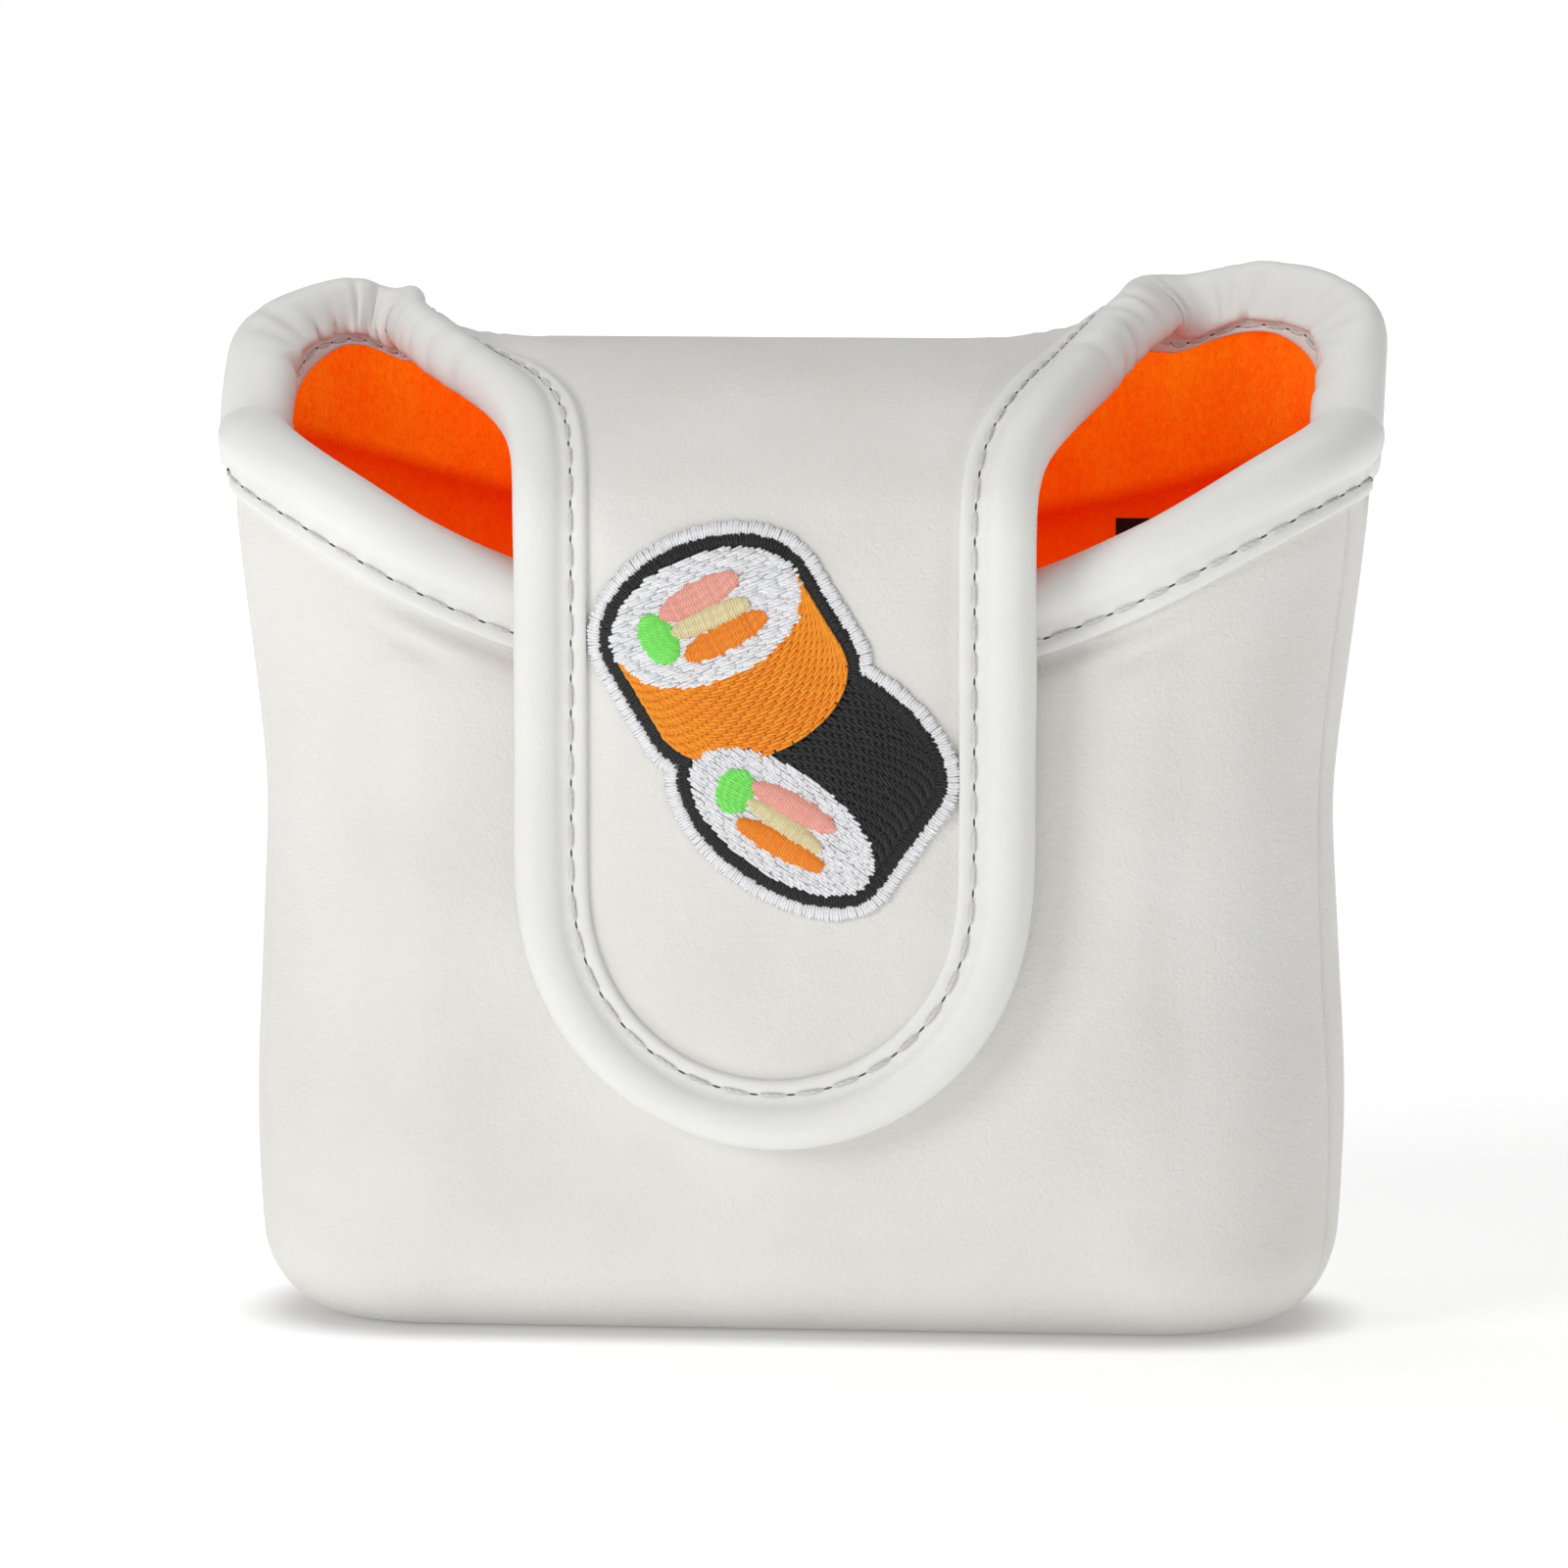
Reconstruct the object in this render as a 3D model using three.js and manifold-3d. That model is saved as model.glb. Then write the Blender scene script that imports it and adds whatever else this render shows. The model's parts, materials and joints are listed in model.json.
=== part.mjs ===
// Putter head cover: a lined leather pouch with a wide magnetic tongue flap.
// Millimetres, +Z up. The origin is the middle of the flat base, on the plane it rests on.
// The front faces -Y. Every wall is a stack: leather outside, foam between, plush lining inside.
import * as THREE from 'three';
import { mergeVertices } from 'three/addons/utils/BufferGeometryUtils.js';
import Module from 'manifold-3d';

const wasm = await Module();
wasm.setup();

// Pouch outline, seen from above
const HALF_WIDTH = 62;
const HALF_DEPTH = 24;
const CORNER_RADIUS = 20;
const BASE_ROUND = 9;
const SIDE_FLARE = 4.5;
const FLARE_START = 60;

// Heights of the sewn edges of the walls, below the padded binding
const FRONT_EDGE_LOW = 75.4;
const SIDE_EDGE = 97;
const EDGE_POWER = 2.3;

// The hood: how the back wall and its corner ears curl forward at the top
const CURL_RADIUS = 10;
const BRIDGE_TOP = 113;
const EAR_LIFT = 9;
const EAR_LIFT_FROM = 28;
const EAR_LIFT_TO = 58;
const NECK_HALF_WIDTH = 38.5;
// The ear's edge dips this far behind the fold, over this share of the way round to the side
const EAR_DIP = 13;
const NECK_SHARE = 0.2;
const EAR_POWER = 1.8;

// The flap: an arch over the mouth, then a straight tongue with a round tip
const FLAP_FRONT_Y = -31.8;
const ARCH_FOOT_Z = 93;
const ARCH_LENGTH = 57;
const ARCH_POWER = 0.87;
const ARCH_FLAT_ANGLE = Math.PI / 3;
const TONGUE_HALF_WIDTH = 21.3;
const NECK_POWER = 1.2;
const TONGUE_TIP_RADIUS = 21;
const TONGUE_TIP_CENTRE = ARCH_LENGTH + 41;
const FRONT_FOLD = 41.2;

// Layers, as depths below the outer leather face
const WALL_LAYERS = { leather: [0, 1.2], foam: [1.5, 4.0], lining: [4.3, 5.5] };
const FLAP_LAYERS = { leather: [0, 1.2], foam: [1.5, 2.7], lining: [3.0, 3.9] };
const PROUD = 1.3;
const BINDING_SKIN = 1.1;
const ROLL_SHOULDER = 3;
const LIP_TURN = 0.6;
const WALL_BAND = 9.5;
const FLAP_BAND = 8.5;
const GAP = 0.3;
const SEAM_GAP = 0.2;
const THREAD = { width: 0.5, height: 2.2, lift: 0.35, thick: 0.45 };

// Hardware and label
const MAGNET_RADIUS = 6;
const MAGNET_Z = 38;
const LABEL = { x: 38.5, z: 90.5, width: 6, height: 3.2, thick: 0.6 };

// Embroidered patch: two cut rolls, each a slanted oval face with a swept side
const PATCH_THICK = 0.8;
const STITCH_THICK = 0.7;
const ROLL_MARGIN = 1.4;
const PATCH_BORDER = 2.9;
const ROLL_SIDES = 26;
const FILLING_SIDES = 12;
const UPPER_ROLL = { x: -7.4, z: 84.4, long: 11.4, short: 7.2, tilt: 0.4, sweep: [5.2, -8.4] };
const LOWER_ROLL = { x: 1.2, z: 61.3, long: 12, short: 6, tilt: -0.6, sweep: [6.8, 9.4] };
// Fillings on a roll's face: centre, half sizes and turn, as shares of the face's half sizes
const FILLINGS = [
  { name: 'salmon', at: [0.02, 0.36], size: [0.34, 0.15], turn: 0.1, colour: 0xf5a08c },
  { name: 'egg', at: [0.0, 0.0], size: [0.3, 0.15], turn: 0, colour: 0xe0d9a0 },
  { name: 'leaf', at: [-0.48, 0.0], size: [0.13, 0.3], turn: 0.15, colour: 0x62e65a },
  { name: 'carrot', at: [0.06, -0.37], size: [0.38, 0.15], turn: 0.1, colour: 0xff9a10 },
];

const LEATHER = { color: 0xe7e5de, roughness: 0.55, metalness: 0 };
const TRIM = { color: 0xeeeeec, roughness: 0.5, metalness: 0 };
const FOAM = { color: 0xd8d4c4, roughness: 0.95, metalness: 0 };
const PLUSH = { color: 0xff5a08, roughness: 1, metalness: 0 };
const BOARD = { color: 0x8d8a84, roughness: 0.8, metalness: 0 };
const STEEL = { color: 0xb8babd, roughness: 0.3, metalness: 1 };
const THREAD_LOOK = { color: 0xdcdad4, roughness: 0.7, metalness: 0 };
const BLACK = { color: 0x171616, roughness: 0.85, metalness: 0 };
const WHITE_STITCH = { color: 0xe4e4f0, roughness: 0.6, metalness: 0 };
const ORANGE_STITCH = { color: 0xff8c06, roughness: 0.6, metalness: 0 };

const group = new THREE.Group();

function add(name, geometry, look) {
  const mesh = new THREE.Mesh(geometry, new THREE.MeshStandardMaterial(look));
  mesh.name = name;
  group.add(mesh);
  return mesh;
}

function smoothstep(from, to, value) {
  const t = Math.min(1, Math.max(0, (value - from) / (to - from)));
  return t * t * (3 - 2 * t);
}

function signedPower(value, power) {
  return Math.sign(value) * Math.abs(value) ** power;
}

function steps(from, to, count) {
  return Array.from({ length: count + 1 }, (_, i) => from + ((to - from) * i) / count);
}

// ---------------------------------------------------------------- surfaces

const FLAT_HALF = HALF_WIDTH - CORNER_RADIUS;
const QUARTER = (CORNER_RADIUS * Math.PI) / 2;
const SIDE_HALF = HALF_DEPTH - CORNER_RADIUS;
const FRONT_CORNER = FLAT_HALF + (QUARTER * 5) / 6;
const SIDE_MID = FLAT_HALF + QUARTER + SIDE_HALF;
const HALF_LOOP = 2 * SIDE_MID;
const BASE_SEAM = BASE_ROUND * (1 - Math.PI / 2);
const FOLD_Y = HALF_DEPTH - CURL_RADIUS;

// Point and outward normal on the pouch's plan outline, a distance `along` from the front's middle.
function outline(along) {
  const side = along < 0 ? -1 : 1;
  const front = Math.abs(along) <= SIDE_MID;
  const m = front ? Math.abs(along) : HALF_LOOP - Math.abs(along);
  const angle = Math.min(Math.PI / 2, Math.max(0, (m - FLAT_HALF) / CORNER_RADIUS));
  const past = Math.max(0, m - FLAT_HALF - QUARTER);
  const x = Math.min(m, FLAT_HALF) + CORNER_RADIUS * Math.sin(angle);
  const y = SIDE_HALF + CORNER_RADIUS * Math.cos(angle) - past;
  const facing = front ? -1 : 1;
  return {
    x: side * x,
    y: facing * y,
    nx: side * Math.sin(angle),
    ny: facing * Math.cos(angle),
  };
}

function earLift(x) {
  return EAR_LIFT * smoothstep(EAR_LIFT_FROM, EAR_LIFT_TO, Math.abs(x));
}

// How far up the leather the curl starts, and the fold at its end, at a distance from the middle
// of the back.
function curlStart(fromBack) {
  return BRIDGE_TOP - CURL_RADIUS + earLift(fromBack);
}

function foldLine(fromBack) {
  return curlStart(fromBack) + (CURL_RADIUS * Math.PI) / 2;
}

// The pouch wall: `along` runs round the loop, `up` runs up the leather from the base seam.
function wall(along, up) {
  const o = outline(along);
  const turn = Math.max(0, (BASE_ROUND - up) / BASE_ROUND);
  const start = curlStart(HALF_LOOP - Math.abs(along));
  const curl = Math.max(0, (up - start) / CURL_RADIUS);
  const flat = Math.min(up, start);
  const z = (turn > 0 ? BASE_ROUND * (1 - Math.sin(turn)) : flat) + CURL_RADIUS * Math.sin(curl);
  const flare = SIDE_FLARE * smoothstep(FLARE_START, SIDE_EDGE + WALL_BAND, up) * o.nx ** 2;
  const inset = BASE_ROUND * (1 - Math.cos(turn)) + CURL_RADIUS * (1 - Math.cos(curl)) - flare;
  return new THREE.Vector3(o.x - inset * o.nx, o.y - inset * o.ny, z);
}

// The flap: `x` across, `down` along the leather from the back fold to the tip.
function flap(x, down) {
  const angle = Math.min(1, down / ARCH_LENGTH) * (Math.PI / 2);
  const depth = FOLD_Y - FLAP_FRONT_Y;
  const rise = BRIDGE_TOP - ARCH_FOOT_Z;
  const lift = earLift(x) * (1 - smoothstep(0, ARCH_FLAT_ANGLE, angle));
  const y = FOLD_Y - depth * signedPower(Math.sin(angle), ARCH_POWER);
  const z = ARCH_FOOT_Z + rise * signedPower(Math.cos(angle), ARCH_POWER) + lift;
  return new THREE.Vector3(x, y, z - Math.max(0, down - ARCH_LENGTH));
}

// A point at a depth below a surface, measured along its normal. `facing` is 1 or -1, and makes
// the normal point out of the leather.
function below(surface, facing, u, v, depth) {
  const e = 0.05;
  const du = surface(u + e, v).sub(surface(u - e, v));
  const dv = surface(u, v + e).sub(surface(u, v - e));
  const normal = du.cross(dv).normalize().multiplyScalar(facing);
  return surface(u, v).addScaledVector(normal, -depth);
}

const WALL = { at: wall, facing: 1 };
const FLAP = { at: flap, facing: -1 };

// ---------------------------------------------------------------- solids from surfaces

function volumeOf(points, faces) {
  const [a, b, c] = [new THREE.Vector3(), new THREE.Vector3(), new THREE.Vector3()];
  let six = 0;
  for (let i = 0; i < faces.length; i += 3) {
    a.fromArray(points, faces[i] * 3);
    b.fromArray(points, faces[i + 1] * 3);
    c.fromArray(points, faces[i + 2] * 3);
    six += a.dot(b.cross(c));
  }
  return six / 6;
}

// A closed tube of rings: each ring is a closed polygon, and the two ends are capped. From the
// point numbered `turned`, a ring runs back along itself, and its quads are split the other way,
// so that facing layers split alike.
function ringSolid(rings, capFaces, turned) {
  const size = rings[0].length;
  const points = rings.flat().flatMap((p) => p.toArray());
  const faces = [];
  for (let r = 0; r + 1 < rings.length; r++) {
    for (let i = 0; i < size; i++) {
      const a = r * size + i;
      const b = r * size + ((i + 1) % size);
      if (i < turned) faces.push(a, b, b + size, a, b + size, a + size);
      else faces.push(a, b, a + size, b, b + size, a + size);
    }
  }
  const last = (rings.length - 1) * size;
  for (const [a, b, c] of capFaces) {
    faces.push(c, b, a, last + a, last + b, last + c);
  }
  if (volumeOf(points, faces) < 0) faces.reverse();
  const geometry = new THREE.BufferGeometry();
  geometry.setAttribute('position', new THREE.Float32BufferAttribute(points, 3));
  geometry.setIndex(faces);
  return geometry;
}

// A layer of a wall or flap. Each row is a list of surface places [u, v], all of one length.
function layer(surface, rows, [outer, inner]) {
  const rings = rows.map((row) => {
    const out = row.map(([u, v]) => below(surface.at, surface.facing, u, v, outer));
    const back = row.map(([u, v]) => below(surface.at, surface.facing, u, v, inner));
    return [...out, ...back.reverse()];
  });
  const columns = rows[0].length;
  const caps = [];
  for (let i = 0; i + 1 < columns; i++) {
    const a = i;
    const b = 2 * columns - 1 - i;
    caps.push([a, a + 1, b - 1], [a, b - 1, b]);
  }
  return ringSolid(rings, caps, columns);
}

// The way across a sewn edge, as a step of one millimetre over the surface's own places:
// at right angles to the edge, away from the sheet.
function edgeStep(surface, before, here, after, away) {
  const e = 0.05;
  const [u, v] = here;
  const du = surface.at(u + e, v).sub(surface.at(u - e, v)).divideScalar(2 * e);
  const dv = surface.at(u, v + e).sub(surface.at(u, v - e)).divideScalar(2 * e);
  const [eu, ev] = [after[0] - before[0], after[1] - before[1]];
  const tangent = du.clone().multiplyScalar(eu).addScaledVector(dv, ev);
  const normal = du.clone().cross(dv).normalize();
  const out = normal.clone().cross(tangent).normalize();
  // Solve out = a * du + b * dv
  const [uu, uv, vv] = [du.dot(du), du.dot(dv), dv.dot(dv)];
  const [ou, ov] = [out.dot(du), out.dot(dv)];
  const det = uu * vv - uv * uv;
  const a = (ou * vv - ov * uv) / det;
  const b = (ov * uu - ou * uv) / det;
  const [au, av] = away(u, v);
  const sign = a * au + b * av < 0 ? -1 : 1;
  return [sign * a, sign * b];
}

// The step across at every station of an edge. Its two ends step straight `away`, so that
// neighbours meet squarely, and the stations next to them turn halfway.
function edgeSteps(surface, edge, away) {
  const last = edge.length - 1;
  const natural = edge.map((here, i) => {
    const before = edge[Math.max(0, i - 1)];
    const after = edge[Math.min(last, i + 1)];
    return edgeStep(surface, before, here, after, away);
  });
  return natural.map((step, i) => {
    if (i === 0 || i === last) return away(...edge[i]);
    if (i > 1 && i < last - 1) return step;
    const end = away(...edge[i === 1 ? 0 : last]);
    return step.map((value, axis) => (value + end[axis]) / 2);
  });
}

// Sweeps a profile of [depth, out] pairs along an edge that lies on a surface.
function edgeSweep(surface, edge, across, { outer, back = [] }) {
  const profile = [...outer, ...back];
  const rings = edge.map(([u, v], i) => {
    const [du, dv] = across[i];
    return profile.map(([depth, out]) =>
      below(surface.at, surface.facing, u + out * du, v + out * dv, depth));
  });
  const flat = profile.map(([depth, out]) => new THREE.Vector2(depth, out));
  const caps = THREE.ShapeUtils.triangulateShape(flat, []);
  const wound = THREE.ShapeUtils.isClockWise(flat) ? caps.map(([a, b, c]) => [c, b, a]) : caps;
  return ringSolid(rings, wound, outer.length);
}

// ---------------------------------------------------------------- cuts and joins

function toSolid(geometry) {
  const plain = geometry.clone();
  plain.deleteAttribute('normal');
  plain.deleteAttribute('uv');
  const merged = mergeVertices(plain, 1e-4);
  return new wasm.Manifold(new wasm.Mesh({
    numProp: 3,
    vertProperties: merged.attributes.position.array,
    triVerts: new Uint32Array(merged.index.array),
  }));
}

function toGeometry(solid) {
  const mesh = solid.getMesh();
  const geometry = new THREE.BufferGeometry();
  geometry.setAttribute('position', new THREE.BufferAttribute(mesh.vertProperties, 3));
  geometry.setIndex(new THREE.BufferAttribute(mesh.triVerts, 1));
  return geometry;
}

// ---------------------------------------------------------------- pouch walls

// How far up the leather the sewn edge is, at each place round the loop.
function sewnEdge(along) {
  const m = Math.abs(along);
  if (m <= SIDE_MID) {
    const share = Math.abs(outline(along).x) / HALF_WIDTH;
    return FRONT_EDGE_LOW + (SIDE_EDGE - FRONT_EDGE_LOW) * Math.min(1, share) ** EDGE_POWER;
  }
  const fromBack = HALF_LOOP - m;
  const fold = foldLine(fromBack) - GAP;
  if (fromBack <= NECK_HALF_WIDTH) return fold;
  const share = (fromBack - NECK_HALF_WIDTH) / (SIDE_MID - NECK_HALF_WIDTH);
  const dip = EAR_DIP * (1 - (1 - Math.min(1, share / NECK_SHARE)) ** 2);
  return SIDE_EDGE + (fold - dip - SIDE_EDGE) * (1 - share ** EAR_POWER) ** (1 / EAR_POWER);
}

// Rows up a wall: round the base, up the flat, then over the curl where there is one.
function wallRows(alongs, curled) {
  const round = steps(BASE_SEAM, BASE_ROUND, 3);
  return alongs.map((along) => {
    const edge = sewnEdge(along);
    const start = Math.min(curlStart(HALF_LOOP - Math.abs(along)), edge - CURL_RADIUS);
    const top = curled ? [(FLARE_START + start) / 2, ...steps(start, edge, 5)] : [edge];
    return [...round, FLARE_START, ...top].map((up) => [along, up]);
  });
}

function mirrorPlaces(places) {
  return places.map((row) => row.map(([u, v]) => [-u, v])).reverse();
}

// Places round half the loop where every layer and binding has its corners.
const BACK_CORNER = HALF_LOOP - FRONT_CORNER;
const NECK = HALF_LOOP - NECK_HALF_WIDTH;
const LOOP_STATIONS = [
  ...steps(0, FLAT_HALF, 5),
  ...steps(FLAT_HALF, FLAT_HALF + QUARTER, 6),
  SIDE_MID,
  ...steps(SIDE_MID + SIDE_HALF, HALF_LOOP - FLAT_HALF, 6),
  ...steps(HALF_LOOP - FLAT_HALF, NECK, 2),
  ...steps(NECK, HALF_LOOP, 5),
];

function between(from, to) {
  const inside = LOOP_STATIONS.filter((s, i) => s > from + 0.5 && s < to - 0.5 && s !== LOOP_STATIONS[i - 1]);
  return [from, ...inside, to];
}

function mirrored(half) {
  return [...half.slice(1).reverse().map((along) => -along), ...half];
}

const frontRows = wallRows(mirrored(between(0, FRONT_CORNER - SEAM_GAP)), false);
const rightRows = wallRows(between(FRONT_CORNER + SEAM_GAP, BACK_CORNER - SEAM_GAP), true);
const backRight = wallRows(between(BACK_CORNER + SEAM_GAP, HALF_LOOP), true);
const backRows = [...backRight, ...mirrorPlaces(backRight).slice(1)];
const leftRows = mirrorPlaces(rightRows);

add('front_panel', layer(WALL, frontRows, WALL_LAYERS.leather), LEATHER);
add('back_panel', layer(WALL, backRows, WALL_LAYERS.leather), LEATHER);
add('gusset_right', layer(WALL, rightRows, WALL_LAYERS.leather), LEATHER);
add('gusset_left', layer(WALL, leftRows, WALL_LAYERS.leather), LEATHER);
add('front_lining', layer(WALL, frontRows, WALL_LAYERS.lining), PLUSH);
add('back_lining', layer(WALL, backRows, WALL_LAYERS.lining), PLUSH);
add('side_lining_right', layer(WALL, rightRows, WALL_LAYERS.lining), PLUSH);
add('side_lining_left', layer(WALL, leftRows, WALL_LAYERS.lining), PLUSH);
add('back_foam', layer(WALL, backRows, WALL_LAYERS.foam), FOAM);

// ---------------------------------------------------------------- magnets, in their foam pockets

// A disk that faces front, between two depths.
function frontDisk(radius, yFront, yBack) {
  const disk = new THREE.CylinderGeometry(radius, radius, yBack - yFront, 24);
  return disk.translate(0, (yFront + yBack) / 2, 0).translate(0, 0, MAGNET_Z);
}

function addMagnet(name, yFront, layers) {
  const [outer, inner] = layers.foam;
  add(name, frontDisk(MAGNET_RADIUS, yFront + outer, yFront + inner), STEEL);
}

function withPocket(geometry, yFront) {
  const cutter = frontDisk(MAGNET_RADIUS + GAP, yFront, yFront + MAGNET_RADIUS);
  return toGeometry(toSolid(geometry).subtract(toSolid(cutter)));
}

add('front_foam', withPocket(layer(WALL, frontRows, WALL_LAYERS.foam), -HALF_DEPTH), FOAM);
addMagnet('pouch_magnet', -HALF_DEPTH, WALL_LAYERS);

// ---------------------------------------------------------------- base

function baseShape(inset) {
  const [x, y, r] = [HALF_WIDTH - inset, HALF_DEPTH - inset, CORNER_RADIUS - inset];
  const shape = new THREE.Shape();
  shape.absarc(x - r, y - r, r, 0, Math.PI / 2);
  shape.absarc(r - x, y - r, r, Math.PI / 2, Math.PI);
  shape.absarc(r - x, r - y, r, Math.PI, 1.5 * Math.PI);
  shape.absarc(x - r, r - y, r, 1.5 * Math.PI, 2 * Math.PI);
  return shape;
}

function basePlate([bottom, top]) {
  const options = { depth: top - bottom, bevelEnabled: false, curveSegments: 5 };
  return new THREE.ExtrudeGeometry(baseShape(BASE_ROUND + GAP), options).translate(0, 0, bottom);
}

add('base_panel', basePlate(WALL_LAYERS.leather), LEATHER);
add('base_board', basePlate(WALL_LAYERS.foam), BOARD);
add('base_lining', basePlate(WALL_LAYERS.lining), PLUSH);

// ---------------------------------------------------------------- flap sheet

// Half width of the flap's sewn edge, from the neck to the straight of the tongue.
function flapHalfWidth(down) {
  const angle = Math.min(1, down / ARCH_LENGTH) * (Math.PI / 2);
  const neck = NECK_HALF_WIDTH - TONGUE_HALF_WIDTH;
  return TONGUE_HALF_WIDTH + neck * (1 - Math.sin(angle)) ** NECK_POWER;
}

function across(halfWidth, down, count) {
  return steps(-halfWidth, halfWidth, count).map((x) => [x, down]);
}

const bridgeDowns = steps(GAP, FRONT_FOLD - GAP, 7);
const bridgeRows = bridgeDowns.map((down) => across(flapHalfWidth(down), down, 10));

const straightDowns = steps(FRONT_FOLD + GAP, TONGUE_TIP_CENTRE, 5);
const tipAngles = steps(0, Math.PI / 2, 6);
const tongueRows = [
  ...straightDowns.map((down) => across(flapHalfWidth(down), down, 6)),
  ...tipAngles.slice(1, -1).map((angle) =>
    across(TONGUE_TIP_RADIUS * Math.cos(angle),
      TONGUE_TIP_CENTRE + TONGUE_TIP_RADIUS * Math.sin(angle), 6)),
];

add('bridge_panel', layer(FLAP, bridgeRows, FLAP_LAYERS.leather), LEATHER);
add('bridge_foam', layer(FLAP, bridgeRows, FLAP_LAYERS.foam), FOAM);
add('bridge_lining', layer(FLAP, bridgeRows, FLAP_LAYERS.lining), PLUSH);
add('tongue_panel', layer(FLAP, tongueRows, FLAP_LAYERS.leather), LEATHER);
add('tongue_foam', withPocket(layer(FLAP, tongueRows, FLAP_LAYERS.foam), FLAP_FRONT_Y), FOAM);
add('tongue_lining', layer(FLAP, tongueRows, FLAP_LAYERS.lining), PLUSH);
addMagnet('tongue_magnet', FLAP_FRONT_Y, FLAP_LAYERS);

// ---------------------------------------------------------------- padded bindings

// The binding is a leather skin in a C section over a soft filler, and its lips meet the stack.
function bindingProfiles(stack, band) {
  const [low, high] = [-PROUD, stack + PROUD];
  const middle = stack / 2;
  const skin = BINDING_SKIN;
  const start = SEAM_GAP + GAP;
  const crown = band - ROLL_SHOULDER;
  const outer = [
    [low + LIP_TURN, start], [low, start + 2], [low, crown], [middle, band],
    [high, crown], [high, start + 2], [high - LIP_TURN, start],
  ];
  const inner = [
    [low + skin + LIP_TURN, start], [low + skin, crown - GAP], [middle, band - skin],
    [high - skin, crown - GAP], [high - skin - LIP_TURN, start],
  ];
  const clear = skin + GAP;
  const filler = [
    [low + clear + LIP_TURN, start + GAP], [low + clear, crown - 2 * GAP], [middle, band - clear - GAP],
    [high - clear, crown - 2 * GAP], [high - clear - LIP_TURN, start + GAP],
  ];
  const [top, side] = [low - THREAD.lift, THREAD.height];
  const thread = [
    [top, side], [top, side + THREAD.width],
    [top - THREAD.thick, side + THREAD.width], [top - THREAD.thick, side],
  ];
  return {
    skin: { outer, back: inner.reverse() },
    filler: { outer: filler },
    thread: { outer: thread },
  };
}

function addBinding(name, surface, edge, away, profiles) {
  const stepsAcross = edgeSteps(surface, edge, away);
  add(`${name}_binding`, edgeSweep(surface, edge, stepsAcross, profiles.skin), TRIM);
  add(`${name}_filler`, edgeSweep(surface, edge, stepsAcross, profiles.filler), FOAM);
  add(`${name}_thread`, edgeSweep(surface, edge, stepsAcross, profiles.thread), THREAD_LOOK);
}

const wallProfiles = bindingProfiles(WALL_LAYERS.lining[1], WALL_BAND);
const flapProfiles = bindingProfiles(FLAP_LAYERS.lining[1], FLAP_BAND);

const mouthEdge = mirrored(between(0, SIDE_MID - SEAM_GAP)).map((along) => [along, sewnEdge(along)]);
addBinding('mouth', WALL, mouthEdge, () => [0, 1], wallProfiles);

const earHalf = between(SIDE_MID + SEAM_GAP, NECK);
const sides = [['right', 1], ['left', -1]];
for (const [name, side] of sides) {
  const earEdge = earHalf.map((along) => [side * along, sewnEdge(along)]);
  const earAway = (along) => (Math.abs(along) >= NECK ? [-side, 0] : [0, 1]);
  addBinding(`ear_${name}`, WALL, earEdge, earAway, wallProfiles);
  const bridgeEdge = bridgeDowns.map((down) => [side * flapHalfWidth(down), down]);
  addBinding(`bridge_${name}`, FLAP, bridgeEdge, () => [side, 0], flapProfiles);
}

const tongueSide = straightDowns.map((down) => [flapHalfWidth(down), down]);
const tongueTip = tipAngles.slice(1).map((angle) => [
  TONGUE_TIP_RADIUS * Math.cos(angle),
  TONGUE_TIP_CENTRE + TONGUE_TIP_RADIUS * Math.sin(angle),
]);
const tongueHalf = [...tongueSide, ...tongueTip];
const tongueEdge = [
  ...tongueHalf,
  ...tongueHalf.slice(0, -1).reverse().map(([x, down]) => [-x, down]),
];
const tongueAway = (x, down) => [Math.sign(x), Math.max(0, down - TONGUE_TIP_CENTRE)];
addBinding('tongue', FLAP, tongueEdge, tongueAway, flapProfiles);

// ---------------------------------------------------------------- label

const labelY = HALF_DEPTH - WALL_LAYERS.lining[1] - GAP - LABEL.thick / 2;
const labelShape = new THREE.BoxGeometry(LABEL.width, LABEL.thick, LABEL.height);
add('inner_label', labelShape.translate(LABEL.x, labelY, LABEL.z), BLACK);

// ---------------------------------------------------------------- embroidered patch

// Outline of a roll: its face is an oval, and its side is the same oval swept away from it.
// `grow` widens the outline. With no sweep it is the face alone.
function rollShape(roll, grow, sweep = roll.sweep, sides = ROLL_SIDES) {
  const points = steps(0, 2 * Math.PI, sides).slice(0, -1).map((angle) => {
    const [c, s] = [Math.cos(angle), Math.sin(angle)];
    const normal = new THREE.Vector2(c / roll.long, s / roll.short).normalize();
    const local = new THREE.Vector2(roll.long * c, roll.short * s).addScaledVector(normal, grow);
    const turned = local.rotateAround(new THREE.Vector2(), roll.tilt);
    const facing = normal.rotateAround(new THREE.Vector2(), roll.tilt);
    const swept = facing.dot(new THREE.Vector2(...sweep)) > 0;
    return turned.add(new THREE.Vector2(...(swept ? sweep : [0, 0])));
  });
  return new THREE.Shape(points);
}

// A plate on the tongue's face: a shape in x and z, between two heights off the leather.
function plate(shape, x, z, low, high) {
  const solid = new THREE.ExtrudeGeometry(shape, { depth: high - low, bevelEnabled: false });
  return solid.rotateX(Math.PI / 2).translate(x, FLAP_FRONT_Y - low, z);
}

function rollPlate(roll, grow, low, high) {
  return toSolid(plate(rollShape(roll, grow), roll.x, roll.z, low, high));
}

function bothRolls(grow, low, high) {
  return rollPlate(UPPER_ROLL, grow, low, high).add(rollPlate(LOWER_ROLL, grow, low, high));
}

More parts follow.
